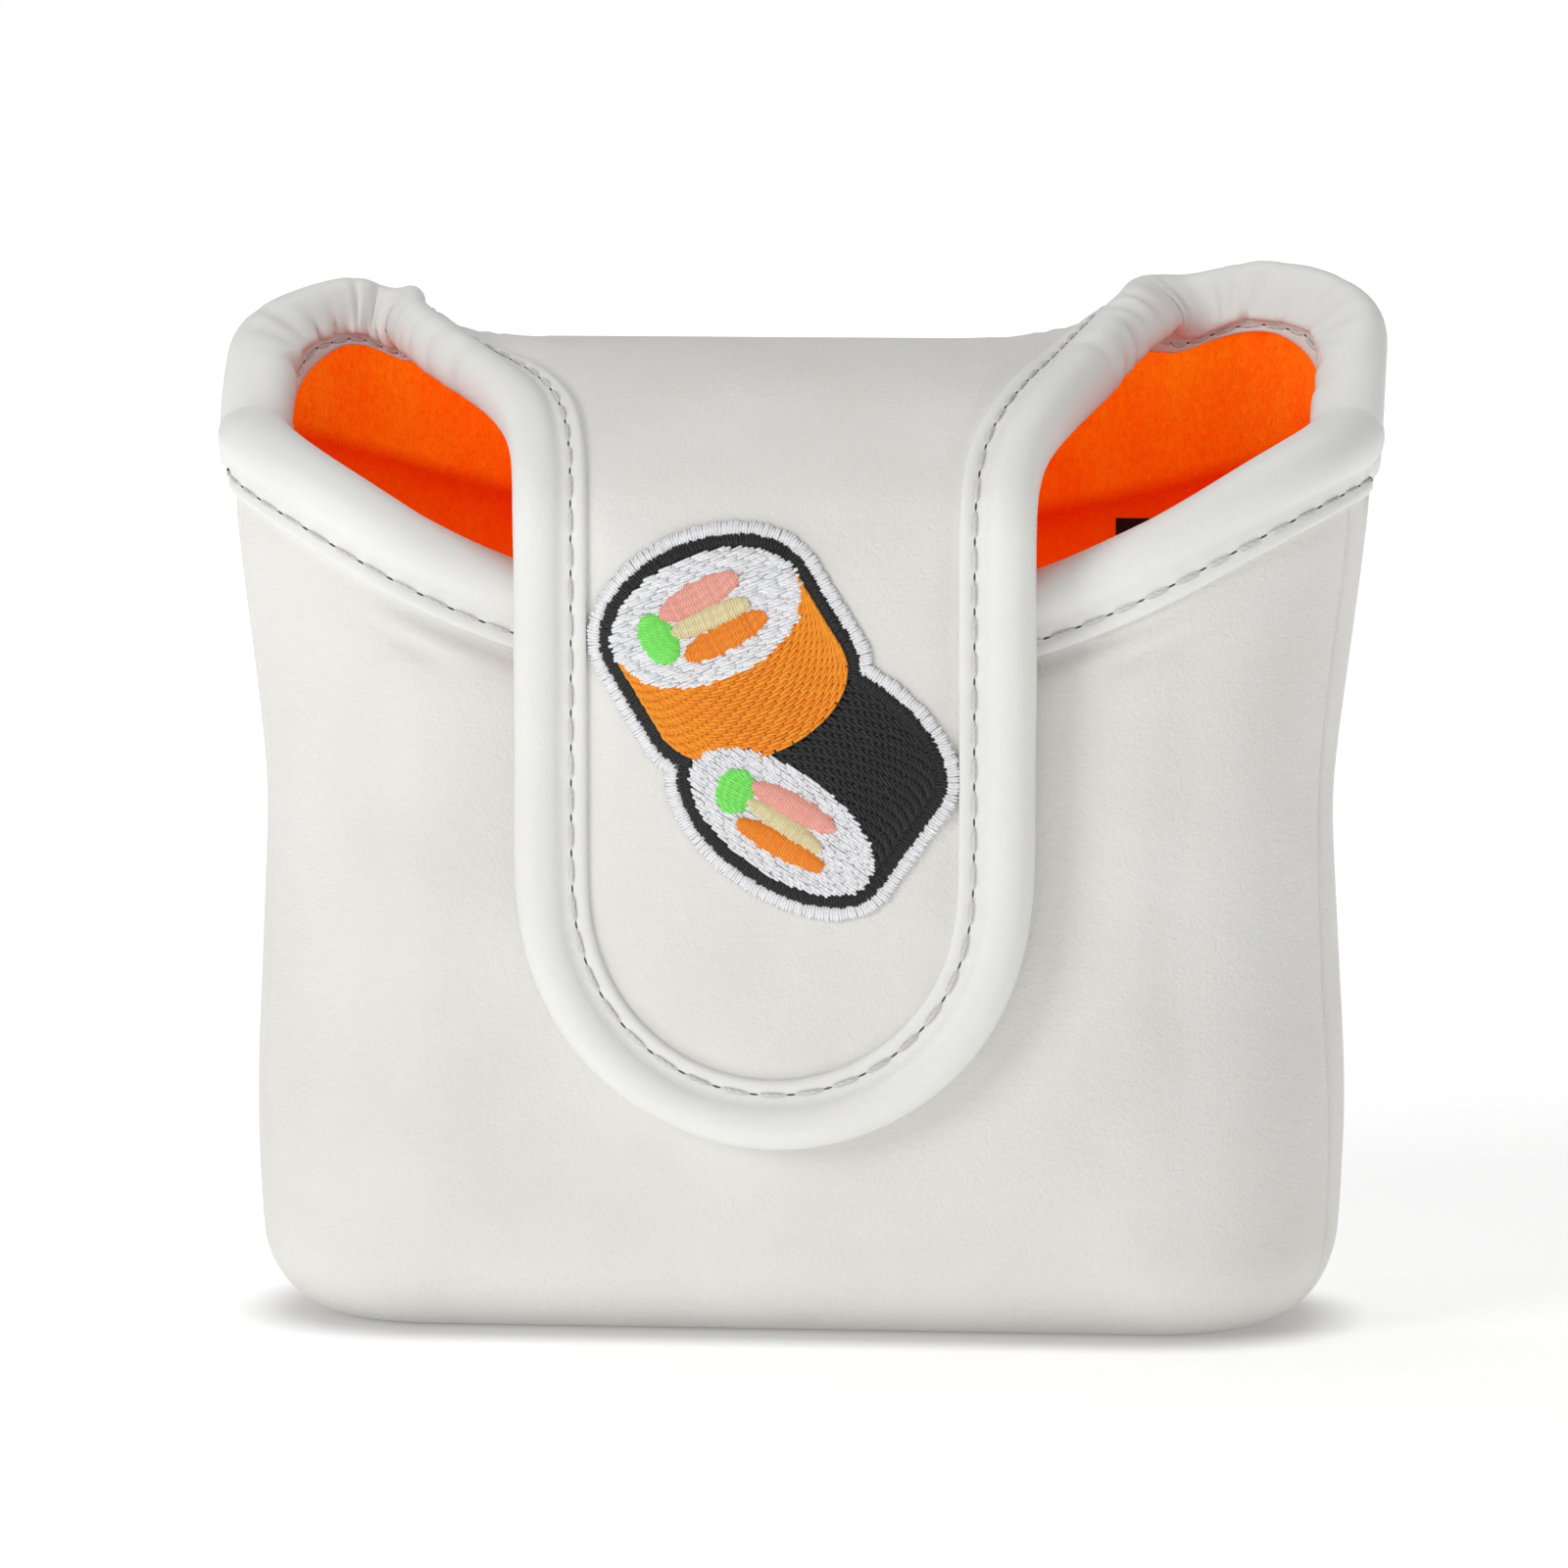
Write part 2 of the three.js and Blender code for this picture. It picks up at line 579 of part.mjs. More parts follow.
const patchLow = GAP;
const patchHigh = patchLow + PATCH_THICK;
const stitchLow = patchHigh + GAP;
const stitchHigh = stitchLow + STITCH_THICK;
const backing = bothRolls(ROLL_MARGIN, patchLow, patchHigh);
const ring = bothRolls(PATCH_BORDER, patchLow, stitchLow)
  .subtract(bothRolls(ROLL_MARGIN + GAP, patchLow - 1, stitchLow + 1));
add('patch_backing', toGeometry(backing), BLACK);
add('patch_border', toGeometry(ring), WHITE_STITCH);

function facePlate(roll, grow) {
  return toSolid(plate(rollShape(roll, grow, [0, 0]), roll.x, roll.z, stitchLow, stitchHigh));
}

function fillingPlate(roll, filling, grow) {
  const oval = { long: filling.size[0] * roll.long, short: filling.size[1] * roll.short };
  const place = new THREE.Vector2(filling.at[0] * roll.long, filling.at[1] * roll.short);
  place.rotateAround(new THREE.Vector2(), roll.tilt);
  const turned = { ...oval, tilt: roll.tilt + filling.turn };
  const shape = rollShape(turned, grow, [0, 0], FILLING_SIDES);
  return toSolid(plate(shape, roll.x + place.x, roll.z + place.y, stitchLow, stitchHigh));
}

function addRoll(name, roll, look, cover) {
  const side = rollPlate(roll, 0, stitchLow, stitchHigh);
  const cut = facePlate(roll, GAP).add(cover);
  add(`${name}_roll_side`, toGeometry(side.subtract(cut)), look);
  let rice = facePlate(roll, 0);
  for (const filling of FILLINGS) {
    rice = rice.subtract(fillingPlate(roll, filling, GAP / 2));
    const fill = fillingPlate(roll, filling, -GAP / 2);
    const fillLook = { color: filling.colour, roughness: 0.6, metalness: 0 };
    add(`${name}_${filling.name}`, toGeometry(fill), fillLook);
  }
  add(`${name}_rice`, toGeometry(rice), WHITE_STITCH);
}

addRoll('upper', UPPER_ROLL, ORANGE_STITCH, facePlate(LOWER_ROLL, GAP));
addRoll('lower', LOWER_ROLL, BLACK, rollPlate(UPPER_ROLL, GAP, stitchLow, stitchHigh));

export default group;
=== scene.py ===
import json
import math

import bmesh
import bpy
import numpy as np
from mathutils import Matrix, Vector


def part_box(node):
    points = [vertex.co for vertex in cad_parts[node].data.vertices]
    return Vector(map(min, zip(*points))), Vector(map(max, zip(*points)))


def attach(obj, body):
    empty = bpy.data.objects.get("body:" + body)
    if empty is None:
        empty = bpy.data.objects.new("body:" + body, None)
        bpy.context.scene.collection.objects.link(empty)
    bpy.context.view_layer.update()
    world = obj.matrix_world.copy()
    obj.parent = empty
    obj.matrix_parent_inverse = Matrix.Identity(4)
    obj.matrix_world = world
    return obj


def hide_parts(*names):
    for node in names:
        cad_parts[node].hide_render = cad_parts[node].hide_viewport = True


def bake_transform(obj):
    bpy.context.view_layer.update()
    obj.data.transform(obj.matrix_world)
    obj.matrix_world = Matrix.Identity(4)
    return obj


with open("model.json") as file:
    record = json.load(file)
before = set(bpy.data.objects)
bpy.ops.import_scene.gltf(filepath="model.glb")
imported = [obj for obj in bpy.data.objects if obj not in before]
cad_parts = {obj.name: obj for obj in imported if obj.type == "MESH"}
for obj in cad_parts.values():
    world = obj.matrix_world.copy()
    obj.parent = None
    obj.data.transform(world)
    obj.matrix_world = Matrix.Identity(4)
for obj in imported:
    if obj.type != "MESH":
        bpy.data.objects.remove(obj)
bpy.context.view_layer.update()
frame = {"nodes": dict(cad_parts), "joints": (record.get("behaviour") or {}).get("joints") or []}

MM = 0.001
scene = bpy.context.scene


def corner(node, which):
    """One corner of a CAD node's box, in millimetres: which is 0 for the lowest, 1 for the highest."""
    return np.array(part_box(node)[which]) / MM


# ---------------- driving dimensions

JOINTS = {joint["name"]: joint for joint in frame["joints"]}
BASE_ROUND = 9.0
CORNER_RADIUS = 20.0
SEAM_GAP = 0.3
HALF_DEPTH = -corner("front_panel", 0)[1]
HALF_WIDTH = corner("base_panel", 1)[0] + BASE_ROUND + SEAM_GAP
FOLD_Y = JOINTS["flap_back_fold"]["pos_m"][1] / MM
CURL_RADIUS = HALF_DEPTH - FOLD_Y
FLAP_FRONT_Y = corner("tongue_panel", 0)[1]

# Sewn edges of the walls, and the hood at the back
FRONT_EDGE_LOW = 75.4
SIDE_EDGE = 97.0
EDGE_POWER = 2.3
SIDE_FLARE = 4.5
FLARE_START = 60.0
BELLY = 1.4
BELLY_HEIGHT = 22.0
BELLY_SPREAD = 17.0
BRIDGE_TOP = 113.0
EAR_LIFT = 9.0
EAR_LIFT_FROM = 30.0
EAR_LIFT_TO = 58.0
EAR_DIP = 13.0
EAR_POWER = 2.0
NECK_HALF_WIDTH = 38.5
NECK_SHARE = 0.25
HOOD_BLEND = 14.0
BRIDGE_LEAN = 5.0
RIGHT_EAR_RISE = 2.5

# The flap: an arch over the mouth, then a straight tongue with a round tip
ARCH_FOOT_Z = 93.0
ARCH_POWER = 0.87
TONGUE_HALF_WIDTH = 21.3
NECK_POWER = 1.5
TIP_RADIUS = 21.0
TIP_CENTRE_Z = 52.0

# Stacks of leather, padding and lining, and the padded bindings round them
WALL_STACK = 5.5
FLAP_STACK = 3.9
WALL_BAND = 9.5
FLAP_BAND = 8.6
LINING_THICK = 1.2
BAND_PROUD = 1.55
STRIP_HEIGHT = 0.62
STITCH_OUT = 1.75
STITCH_PITCH = 4.0
TUCK = 3.0
SEAM_ROLL = 1.1
CREASE_LOW = 90.0
CREASE_RISE = 12.0
CREASE_DEPTH = 1.5
CREASE_FADE = 11.0

# Where pieces bend with a fold (y and z), and where the flap's sheet is cut in two (y)
BEND_BACK = (FOLD_Y - 2.5, BRIDGE_TOP), (-4.0, BRIDGE_TOP)
BEND_FRONT = (-20.0, 108.0), (-32.0, 94.0)
SPLIT_Y = -6.0

FLAT_HALF = HALF_WIDTH - CORNER_RADIUS
QUARTER = CORNER_RADIUS * math.pi / 2
SIDE_HALF = HALF_DEPTH - CORNER_RADIUS
SIDE_MID = FLAT_HALF + QUARTER + SIDE_HALF
HALF_LOOP = 2 * SIDE_MID
FRONT_SEAM = FLAT_HALF + QUARTER * 5 / 6
BACK_SEAM = HALF_LOOP - FRONT_SEAM
BASE_SEAM = BASE_ROUND * (1 - math.pi / 2)
SPACING = 1.3


# ---------------- surfaces

def smoothstep(start, end, value):
    t = np.clip((value - start) / (end - start), 0.0, 1.0)
    return t * t * (3 - 2 * t)


def unit(vectors):
    return vectors / np.linalg.norm(vectors, axis=-1, keepdims=True)


def dots(a, b):
    return (a * b).sum(-1)


def outline(along):
    """Place and outward direction on the pouch's plan, a distance along from the front's middle."""
    side = np.where(along < 0, -1.0, 1.0)
    front = np.abs(along) <= SIDE_MID
    m = np.where(front, np.abs(along), HALF_LOOP - np.abs(along))
    angle = np.clip((m - FLAT_HALF) / CORNER_RADIUS, 0, math.pi / 2)
    past = np.maximum(0, m - FLAT_HALF - QUARTER)
    facing = np.where(front, -1.0, 1.0)
    x = side * (np.minimum(m, FLAT_HALF) + CORNER_RADIUS * np.sin(angle))
    y = facing * (SIDE_HALF + CORNER_RADIUS * np.cos(angle) - past)
    return x, y, side * np.sin(angle), facing * np.cos(angle)


def ear_lift(x):
    return EAR_LIFT * smoothstep(EAR_LIFT_FROM, EAR_LIFT_TO, np.abs(x))


def curl_start(from_back):
    """Height at which the back begins to curl forward."""
    return BRIDGE_TOP - CURL_RADIUS + ear_lift(from_back)


def fold_line(from_back):
    """How far up the leather the curl ends and the flap begins."""
    return curl_start(from_back) + CURL_RADIUS * math.pi / 2


def wall(along, up):
    """The pouch wall: up runs from the base seam, round the base's edge and over the hood's curl."""
    x, y, nx, ny = outline(along)
    turn = np.maximum(0, (BASE_ROUND - up) / BASE_ROUND)
    start = curl_start(HALF_LOOP - np.abs(along))
    curl = np.maximum(0, (up - start) / CURL_RADIUS)
    z = np.where(turn > 0, BASE_ROUND * (1 - np.sin(turn)), np.minimum(up, start))
    z = z + CURL_RADIUS * np.sin(curl)
    flare = SIDE_FLARE * smoothstep(FLARE_START, SIDE_EDGE + WALL_BAND, up) * nx ** 2
    belly = BELLY * np.exp(-((up - BELLY_HEIGHT) / BELLY_SPREAD) ** 2) * smoothstep(-4, 12, up)
    inset = BASE_ROUND * (1 - np.cos(turn)) + CURL_RADIUS * (1 - np.cos(curl)) - flare - belly
    return np.stack([x - inset * nx, y - inset * ny, z + 0 * x], -1)


def run_length(points):
    """Distance from the first point of a chain to each of its points."""
    return np.concatenate([[0], np.cumsum(np.linalg.norm(np.diff(points, axis=0), axis=1))])


def read_rows(at, table_at, table):
    """A table's columns read at other places, by straight lines between its rows."""
    return np.stack([np.interp(at, table_at, column) for column in table.T], -1)


def signed_power(value, power):
    return np.sign(value) * np.abs(value) ** power


def arch(angle):
    """The arch's side view, a quarter of a superellipse: y and z at an angle from the back fold."""
    y = FOLD_Y - (FOLD_Y - FLAP_FRONT_Y) * signed_power(np.sin(angle), ARCH_POWER)
    z = ARCH_FOOT_Z + (BRIDGE_TOP - ARCH_FOOT_Z) * signed_power(np.cos(angle), ARCH_POWER)
    return y, z


ARCH_SHARES = np.linspace(0, 1, 4001)
ARCH_ANGLES = math.pi / 2 * ARCH_SHARES ** (1 / ARCH_POWER)
ARCH_RUNS = run_length(np.stack(arch(ARCH_ANGLES), -1))
ARCH_LENGTH = ARCH_RUNS[-1]
TIP_CENTRE = ARCH_LENGTH + ARCH_FOOT_Z - TIP_CENTRE_Z


def arch_angle(down):
    return np.interp(down, ARCH_RUNS, ARCH_ANGLES)


def flap(x, down):
    """The flap: down runs along the leather from the back fold, over the arch, to the tip."""
    angle = arch_angle(down)
    lift = ear_lift(x) * (1 - smoothstep(0, math.pi / 3, angle))
    y, z = arch(angle)
    z = z + lift
    return np.stack([x + 0 * y, y + 0 * x, z - np.maximum(0, down - ARCH_LENGTH)], -1)


def hood(q, v):
    """Back wall and flap as one chart: q is the distance from the back's middle, v runs up the
    back and on over the flap. Past the fold the leather goes forward, as the flap does."""
    along = np.where(q < 0, -1.0, 1.0) * (HALF_LOOP - np.abs(q))
    fold = fold_line(q)
    down = np.maximum(0, v - fold)
    straight = flap(q, 0 * down)
    share = smoothstep(0, HOOD_BLEND, down)[..., None]
    back = wall(along, np.minimum(v, fold))
    return back * (1 - share) + straight * share + flap(q, down) - straight


def surface_frame(surface, u, v):
    """Point, outward normal and the two slopes of a surface at u, v."""
    step = 0.04
    du = (surface(u + step, v) - surface(u - step, v)) / (2 * step)
    dv = (surface(u, v + step) - surface(u, v - step)) / (2 * step)
    return surface(u, v), unit(np.cross(du, dv)), du, dv


def hood_frame(q, v):
    point, normal, du, dv = surface_frame(hood, q, v)
    return point, -normal, du, dv


def wall_frame(along, up):
    return surface_frame(wall, along, up)


# ---------------- sewn edges

def sewn_edge(along):
    """How far up the leather the sewn edge is, at each place round the loop."""
    across = np.minimum(1, np.abs(outline(along)[0]) / HALF_WIDTH)
    front = FRONT_EDGE_LOW + (SIDE_EDGE - FRONT_EDGE_LOW) * across ** EDGE_POWER
    from_back = HALF_LOOP - np.abs(along)
    fold = fold_line(from_back)
    share = np.clip((from_back - NECK_HALF_WIDTH) / (SIDE_MID - NECK_HALF_WIDTH), 0, 1)
    dip = EAR_DIP * (1 - (1 - np.minimum(1, share / NECK_SHARE)) ** 2)
    back = SIDE_EDGE + (fold - dip - SIDE_EDGE) * (1 - share ** EAR_POWER) ** (1 / EAR_POWER)
    back = np.where(from_back <= NECK_HALF_WIDTH, fold, back)
    return np.where(np.abs(along) <= SIDE_MID, front, back)


def flap_half_width(down):
    angle = arch_angle(down)
    neck = NECK_HALF_WIDTH - TONGUE_HALF_WIDTH
    return TONGUE_HALF_WIDTH + neck * (1 - np.sin(angle)) ** NECK_POWER


def smooth_rows(rows, sigma):
    """Gaussian smoothing along the first axis, with the ends held."""
    reach = int(3 * sigma)
    kernel = np.exp(-0.5 * (np.arange(-reach, reach + 1) / sigma) ** 2)
    kernel /= kernel.sum()
    flat = rows.reshape(len(rows), -1)
    before = 2 * flat[0] - flat[reach:0:-1]
    after = 2 * flat[-1] - flat[-2:-reach - 2:-1]
    padded = np.concatenate([before, flat, after])
    out = np.stack([np.convolve(column, kernel, "valid") for column in padded.T], -1)
    return out.reshape(rows.shape)


def evenly(places, surface, step):
    """Reads a chain of surface places again at even steps over the surface."""
    length = run_length(surface(*places.T))
    at = np.linspace(0, length[-1], int(round(length[-1] / step)) + 1)
    return read_rows(at, length, places), at


def flap_loop():
    """The flap's sewn edge on the hood chart, from the right side, over the ear, round the tip."""
    along = np.linspace(SIDE_MID, HALF_LOOP - NECK_HALF_WIDTH, 160)
    ear = np.stack([HALF_LOOP - along, sewn_edge(along)], -1)
    down = np.linspace(0.2, TIP_CENTRE, 200)
    width = flap_half_width(down)
    straight = np.stack([width, fold_line(width) + down], -1)
    angle = np.linspace(0, math.pi / 2, 80)[1:]
    tip_x = TIP_RADIUS * np.cos(angle) + (TONGUE_HALF_WIDTH - TIP_RADIUS) * (1 - np.sin(angle))
    tip = np.stack([tip_x, fold_line(tip_x) + TIP_CENTRE + TIP_RADIUS * np.sin(angle)], -1)
    right = np.concatenate([ear, straight, tip])
    left = right[:-1][::-1] * np.array([-1, 1])
    return np.concatenate([right, left])


def mouth_line():
    along = np.linspace(-SIDE_MID, SIDE_MID, 400)
    return np.stack([along, sewn_edge(along)], -1)


# How far apart an edge's stations are, and over how many its places and steps are smoothed
EDGE_STEP = 0.7
PLACE_SMOOTHING = 5.0
STEP_SMOOTHING = 9.0


class Edge:
    """A sewn edge: places are even steps along it, steps are the way out of the sheet, per mm."""

    def __init__(self, places, surface, framed):
        places = smooth_rows(evenly(places, surface, EDGE_STEP)[0], PLACE_SMOOTHING)
        self.places, self.at = evenly(places, surface, EDGE_STEP)
        self.framed = framed
        point, normal, du, dv = framed(*self.places.T)
        out = np.cross(normal, unit(np.gradient(point, axis=0)))
        uu, uv, vv = dots(du, du), dots(du, dv), dots(dv, dv)
        ou, ov = dots(out, du), dots(out, dv)
        steps = np.stack([ou * vv - ov * uv, ov * uu - ou * uv], -1) / (uu * vv - uv * uv)[:, None]
        self.steps = smooth_rows(steps, STEP_SMOOTHING)
        self.length = self.at[-1]

    def points(self, out, depth):
        """Points at a distance out from the edge and a depth below the leather, per station."""
        point, normal, _, _ = self.framed(*(self.places + self.steps * out[:, None]).T)
        return point - normal * depth[:, None]


# ---------------- mesh helpers

def grid_faces(rows, cols, start=0):
    r, c = np.meshgrid(np.arange(rows - 1), np.arange(cols - 1), indexing="ij")
    a = (start + r * cols + c).ravel()
    return np.stack([a, a + 1, a + cols + 1, a + cols], -1)


def turned(faces, flip):
    return faces[:, ::-1] if flip else faces


def leaned(points):
    """The bridge leans to the left where it leaves the back, and the right ear stands higher.
    Both fade out towards the front and further down."""
    x, y, z = points.T
    share = smoothstep(FLAP_FRONT_Y + 8, FOLD_Y, y)
    share *= smoothstep(BRIDGE_TOP - 18, BRIDGE_TOP + 3, z)
    shift = BRIDGE_LEAN * share * (1 - smoothstep(NECK_HALF_WIDTH, HALF_WIDTH, np.abs(x)))
    rise = RIGHT_EAR_RISE * share * smoothstep(HALF_WIDTH / 3, HALF_WIDTH - 6, x)
    return np.stack([x - shift, y, z + rise], -1)


def linked(name, data):
    obj = bpy.data.objects.new(name, data)
    scene.collection.objects.link(obj)
    return obj


def make_object(name, points, faces, material, **kept):
    """A smooth mesh. Its places at rest, and anything kept, become attributes for the materials."""
    kept["rest"] = points = leaned(points)
    mesh = bpy.data.meshes.new(name)
    mesh.from_pydata((points * MM).tolist(), [], faces.tolist())
    mesh.polygons.foreach_set("use_smooth", [True] * len(mesh.polygons))
    mesh.materials.append(material)
    for key, values in kept.items():
        layer = mesh.attributes.new(key, "FLOAT_VECTOR", "POINT")
        layer.data.foreach_set("vector", np.asarray(values, np.float32).ravel())
    return linked(name, mesh)


def weld(obj):
    work = bmesh.new()
    work.from_mesh(obj.data)
    bmesh.ops.remove_doubles(work, verts=work.verts, dist=0.01 * MM)
    work.to_mesh(obj.data)
    work.free()


def grid_normals(points):
    return unit(np.cross(np.gradient(points, axis=1), np.gradient(points, axis=0)))


def cubic(values, at):
    """A table's values at fractional row numbers, by a Catmull-Rom curve through its rows."""
    last = len(values) - 1
    row = np.clip(np.floor(at).astype(int), 0, last - 1)
    t = (at - row)[:, None, None]
    a, b, c, d = [values[np.clip(row + k, 0, last)] for k in (-1, 0, 1, 2)]
    return 0.5 * (2 * b + (c - a) * t + (2 * a - 5 * b + 4 * c - d) * t ** 2
                  + (3 * b - a - 3 * c + d) * t ** 3)


# ---------------- node materials

class Nodes:
    """A material's node tree, with short ways to add the nodes used here."""

    def __init__(self, name):
        self.material = bpy.data.materials.new(name)
        self.material.use_nodes = True
        self.tree = self.material.node_tree
        self.shader = self.tree.nodes["Principled BSDF"]

    def add(self, kind, **settings):
        node = self.tree.nodes.new(kind)
        for key, value in settings.items():
            setattr(node, key, value)
        return node

    def join(self, source, target):
        self.tree.links.new(source, target)

    def put(self, target, value):
        if isinstance(value, bpy.types.NodeSocket):
            self.join(value, target)
        else:
            target.default_value = value

    def kept(self, attribute="rest"):
        return self.add("ShaderNodeAttribute", attribute_name=attribute).outputs["Vector"]

    def object_mm(self):
        return self.stretch(self.add("ShaderNodeTexCoord").outputs["Object"], (1 / MM,) * 3)

    def stretch(self, vector, scale):
        node = self.add("ShaderNodeVectorMath", operation="MULTIPLY")
        self.join(vector, node.inputs[0])
        node.inputs[1].default_value = scale
        return node.outputs[0]

    def noise(self, vector, size, detail=3.0, rough=0.5):
        node = self.add("ShaderNodeTexNoise")
        self.join(vector, node.inputs["Vector"])
        node.inputs["Scale"].default_value = 1 / size
        node.inputs["Detail"].default_value = detail
        node.inputs["Roughness"].default_value = rough
        return node.outputs["Fac"]

    def cells(self, vector, size):
        node = self.add("ShaderNodeTexVoronoi")
        self.join(vector, node.inputs["Vector"])
        node.inputs["Scale"].default_value = 1 / size
        return node.outputs["Distance"]

    def math(self, operation, a, b=0.0):
        node = self.add("ShaderNodeMath", operation=operation)
        self.put(node.inputs[0], a)
        self.put(node.inputs[1], b)
        return node.outputs[0]

    def total(self, first, *others):
        """The sum of values, each given with its weight."""
        result = self.math("MULTIPLY", *first)
        for value, weight in others:
            result = self.math("ADD", result, self.math("MULTIPLY", value, weight))
        return result

    def part(self, vector, axis):
        node = self.add("ShaderNodeSeparateXYZ")
        self.join(vector, node.inputs[0])
        return node.outputs[axis]

    def ramp(self, value, low, high, first, second):
        """Maps a value from low..high to first..second, clamped."""
        node = self.add("ShaderNodeMapRange")
        self.put(node.inputs["Value"], value)
        for key, number in zip(("From Min", "From Max", "To Min", "To Max"),
                               (low, high, first, second)):
            node.inputs[key].default_value = number
        return node.outputs[0]

    def mix(self, share, first, second):
        node = self.add("ShaderNodeMix", data_type="RGBA")
        self.put(node.inputs["Factor"], share)
        self.put(node.inputs[6], first)
        self.put(node.inputs[7], second)
        return node.outputs[2]

    def bump(self, height, distance):
        node = self.add("ShaderNodeBump")
        node.inputs["Distance"].default_value = distance * MM
        self.join(height, node.inputs["Height"])
        self.join(node.outputs[0], self.shader.inputs["Normal"])

    def set(self, **values):
        for key, value in values.items():
            self.put(self.shader.inputs[key.replace("_", " ")], value)


def colour(red, green, blue):
    """A colour given as it looks on screen, 0 to 255, as linear light."""
    def linear(value):
        value /= 255
        return value / 12.92 if value <= 0.04045 else ((value + 0.055) / 1.055) ** 2.4
    return (linear(red), linear(green), linear(blue), 1.0)


def leather(name, base, shade, grain, rough):
    """Soft coated leather: fine pebbles, faint lengthwise creases and a little uneven colour."""
    n = Nodes(name)
    place = n.kept()
    patches = n.noise(place, 22, 2)
    n.set(Base_Color=n.mix(n.ramp(patches, 0.35, 0.7, 0, 1), base, shade))
    pebbles = n.math("ADD", n.cells(place, 0.62), n.cells(place, 0.33))
    soft = n.noise(place, 1.3, 3, 0.55)
    creases = n.noise(n.stretch(place, (0.16, 0.6, 1.0)), 1.6, 3, 0.6)
    n.bump(n.total((pebbles, 0.55), (soft, 0.9), (creases, 0.8)), grain)
    n.set(Roughness=n.ramp(n.noise(place, 3.0, 3), 0.3, 0.7, rough - 0.06, rough + 0.06))
    n.set(Specular_IOR_Level=0.42, Coat_Weight=0.06, Coat_Roughness=0.45)
    n.set(Subsurface_Weight=0.06, Subsurface_Radius=(1.0, 0.75, 0.55), Subsurface_Scale=0.0012)
    return n.material


def plush(name, base, deep, shade_colour):
    """Short velvety pile, brighter where it is combed one way, with painted shade in its folds and low
    down, and a painted glow.
    """
    n = Nodes(name)
    place = n.kept()
    combed = n.noise(n.stretch(place, (1.0, 1.0, 0.6)), 9.0, 3, 0.5)
    tufts = n.noise(n.stretch(place, (1.0, 1.0, 0.6)), 0.7, 3, 0.7)
    tone = n.total((combed, 0.45), (tufts, 0.4))
    pile_colour = n.mix(n.ramp(tone, 0.32, 0.56, 0, 1), deep, base)
    # Painted shade: the pile is darker just under the lining's crease.
    x, z = n.part(place, 0), n.part(place, 2)
    bend = n.math("MULTIPLY", n.math("MULTIPLY", x, x), CREASE_RISE / HALF_WIDTH ** 2)
    over = n.math("SUBTRACT", z, n.math("ADD", bend, CREASE_LOW))
    fold_shade = n.math("MULTIPLY", n.ramp(over, -8, -0.3, 0, 0.8), n.ramp(over, 0.2, 2.2, 1, 0.12))
    pile_colour = n.mix(fold_shade, pile_colour, shade_colour)
    # Painted shade: the pile darkens towards the bottom of the pouch.
    pile_colour = n.mix(n.ramp(z, 72, 112, 0, 1), shade_colour, pile_colour)
    pile = n.noise(n.stretch(place, (1.0, 1.0, 0.45)), 0.3, 2, 0.7)
    n.bump(n.total((pile, 0.7), (tufts, 1.0), (combed, 1.5)), 1.0)
    n.set(Base_Color=pile_colour, Roughness=0.95, Specular_IOR_Level=0.1)
    # Painted glow: the pile gives off its own colour, more strongly to the camera than onto other
    # surfaces.
    seen = n.add("ShaderNodeLightPath").outputs["Is Camera Ray"]
    n.set(Emission_Color=pile_colour, Emission_Strength=n.ramp(seen, 0, 1, 0.25, 0.66))
    n.set(Sheen_Weight=0.5, Sheen_Roughness=0.4, Sheen_Tint=colour(255, 150, 60))
    return n.material


TWIST = 0.9


def thread(name, base, deep, rough, sheen):
    """Spun thread: a twist along each strand, with painted shade in its grooves, and slightly different
    strands.
    """
    n = Nodes(name)
    length, turn, own = (n.part(n.kept("strand"), axis) for axis in range(3))
    ply = n.math("SINE", n.total((length, 2 * math.pi / TWIST), (turn, 2.0)))
    # Painted shade: the colour darkens in the grooves of the twist; the tone of each strand differs at
    # random.
    shade = n.math("ADD", n.ramp(ply, -1, 1, 0.5, 0), own)
    n.set(Base_Color=n.mix(n.math("MULTIPLY", shade, 0.66), base, deep))
    n.bump(n.math("ADD", ply, n.noise(n.kept(), 0.15, 2)), 0.035)
    n.set(Roughness=rough, Specular_IOR_Level=0.45, Sheen_Weight=sheen, Sheen_Roughness=0.4)
    return n.material


def twill(name, base, deep, pitch):
    """Woven cloth with diagonal ribs, darkened between them with painted shade."""
    n = Nodes(name)
    place = n.kept()
    x, z = n.part(place, 0), n.part(place, 2)
    ribs = n.math("SINE", n.math("MULTIPLY", n.math("ADD", x, z), 2 * math.pi / pitch))
    yarn = n.math("SINE", n.math("MULTIPLY", n.math("SUBTRACT", x, z), 2 * math.pi / (pitch * 1.7)))
    weave = n.total((ribs, 1.0), (yarn, 0.5))
    # Painted shade: the colour darkens between the ribs.
    n.set(Base_Color=n.mix(n.ramp(weave, -1.5, 1.5, 0, 1), deep, base))
    n.bump(weave, 0.05)
    n.set(Roughness=0.8, Sheen_Weight=0.2)
    return n.material


def hardware(name, base, metallic, rough, size):
    n = Nodes(name)
    place = n.object_mm()
    marks = n.noise(place, size, 4)
    n.set(Base_Color=n.mix(n.ramp(marks, 0.3, 0.7, 0, 0.35), base, (0.05, 0.05, 0.05, 1)))
    n.bump(marks, 0.05)
    n.set(Metallic=metallic, Roughness=n.ramp(marks, 0.3, 0.7, rough - 0.08, rough + 0.1))
    return n.material


# Painted shade: each needle hole is a small dark body standing for the shadow inside it.
def painted_hole_shade(name):
    n = Nodes(name)
    n.set(Base_Color=n.mix(n.noise(n.kept(), 0.4), colour(112, 110, 106), colour(74, 72, 70)))
    n.set(Roughness=0.9, Specular_IOR_Level=0.1)
    return n.material


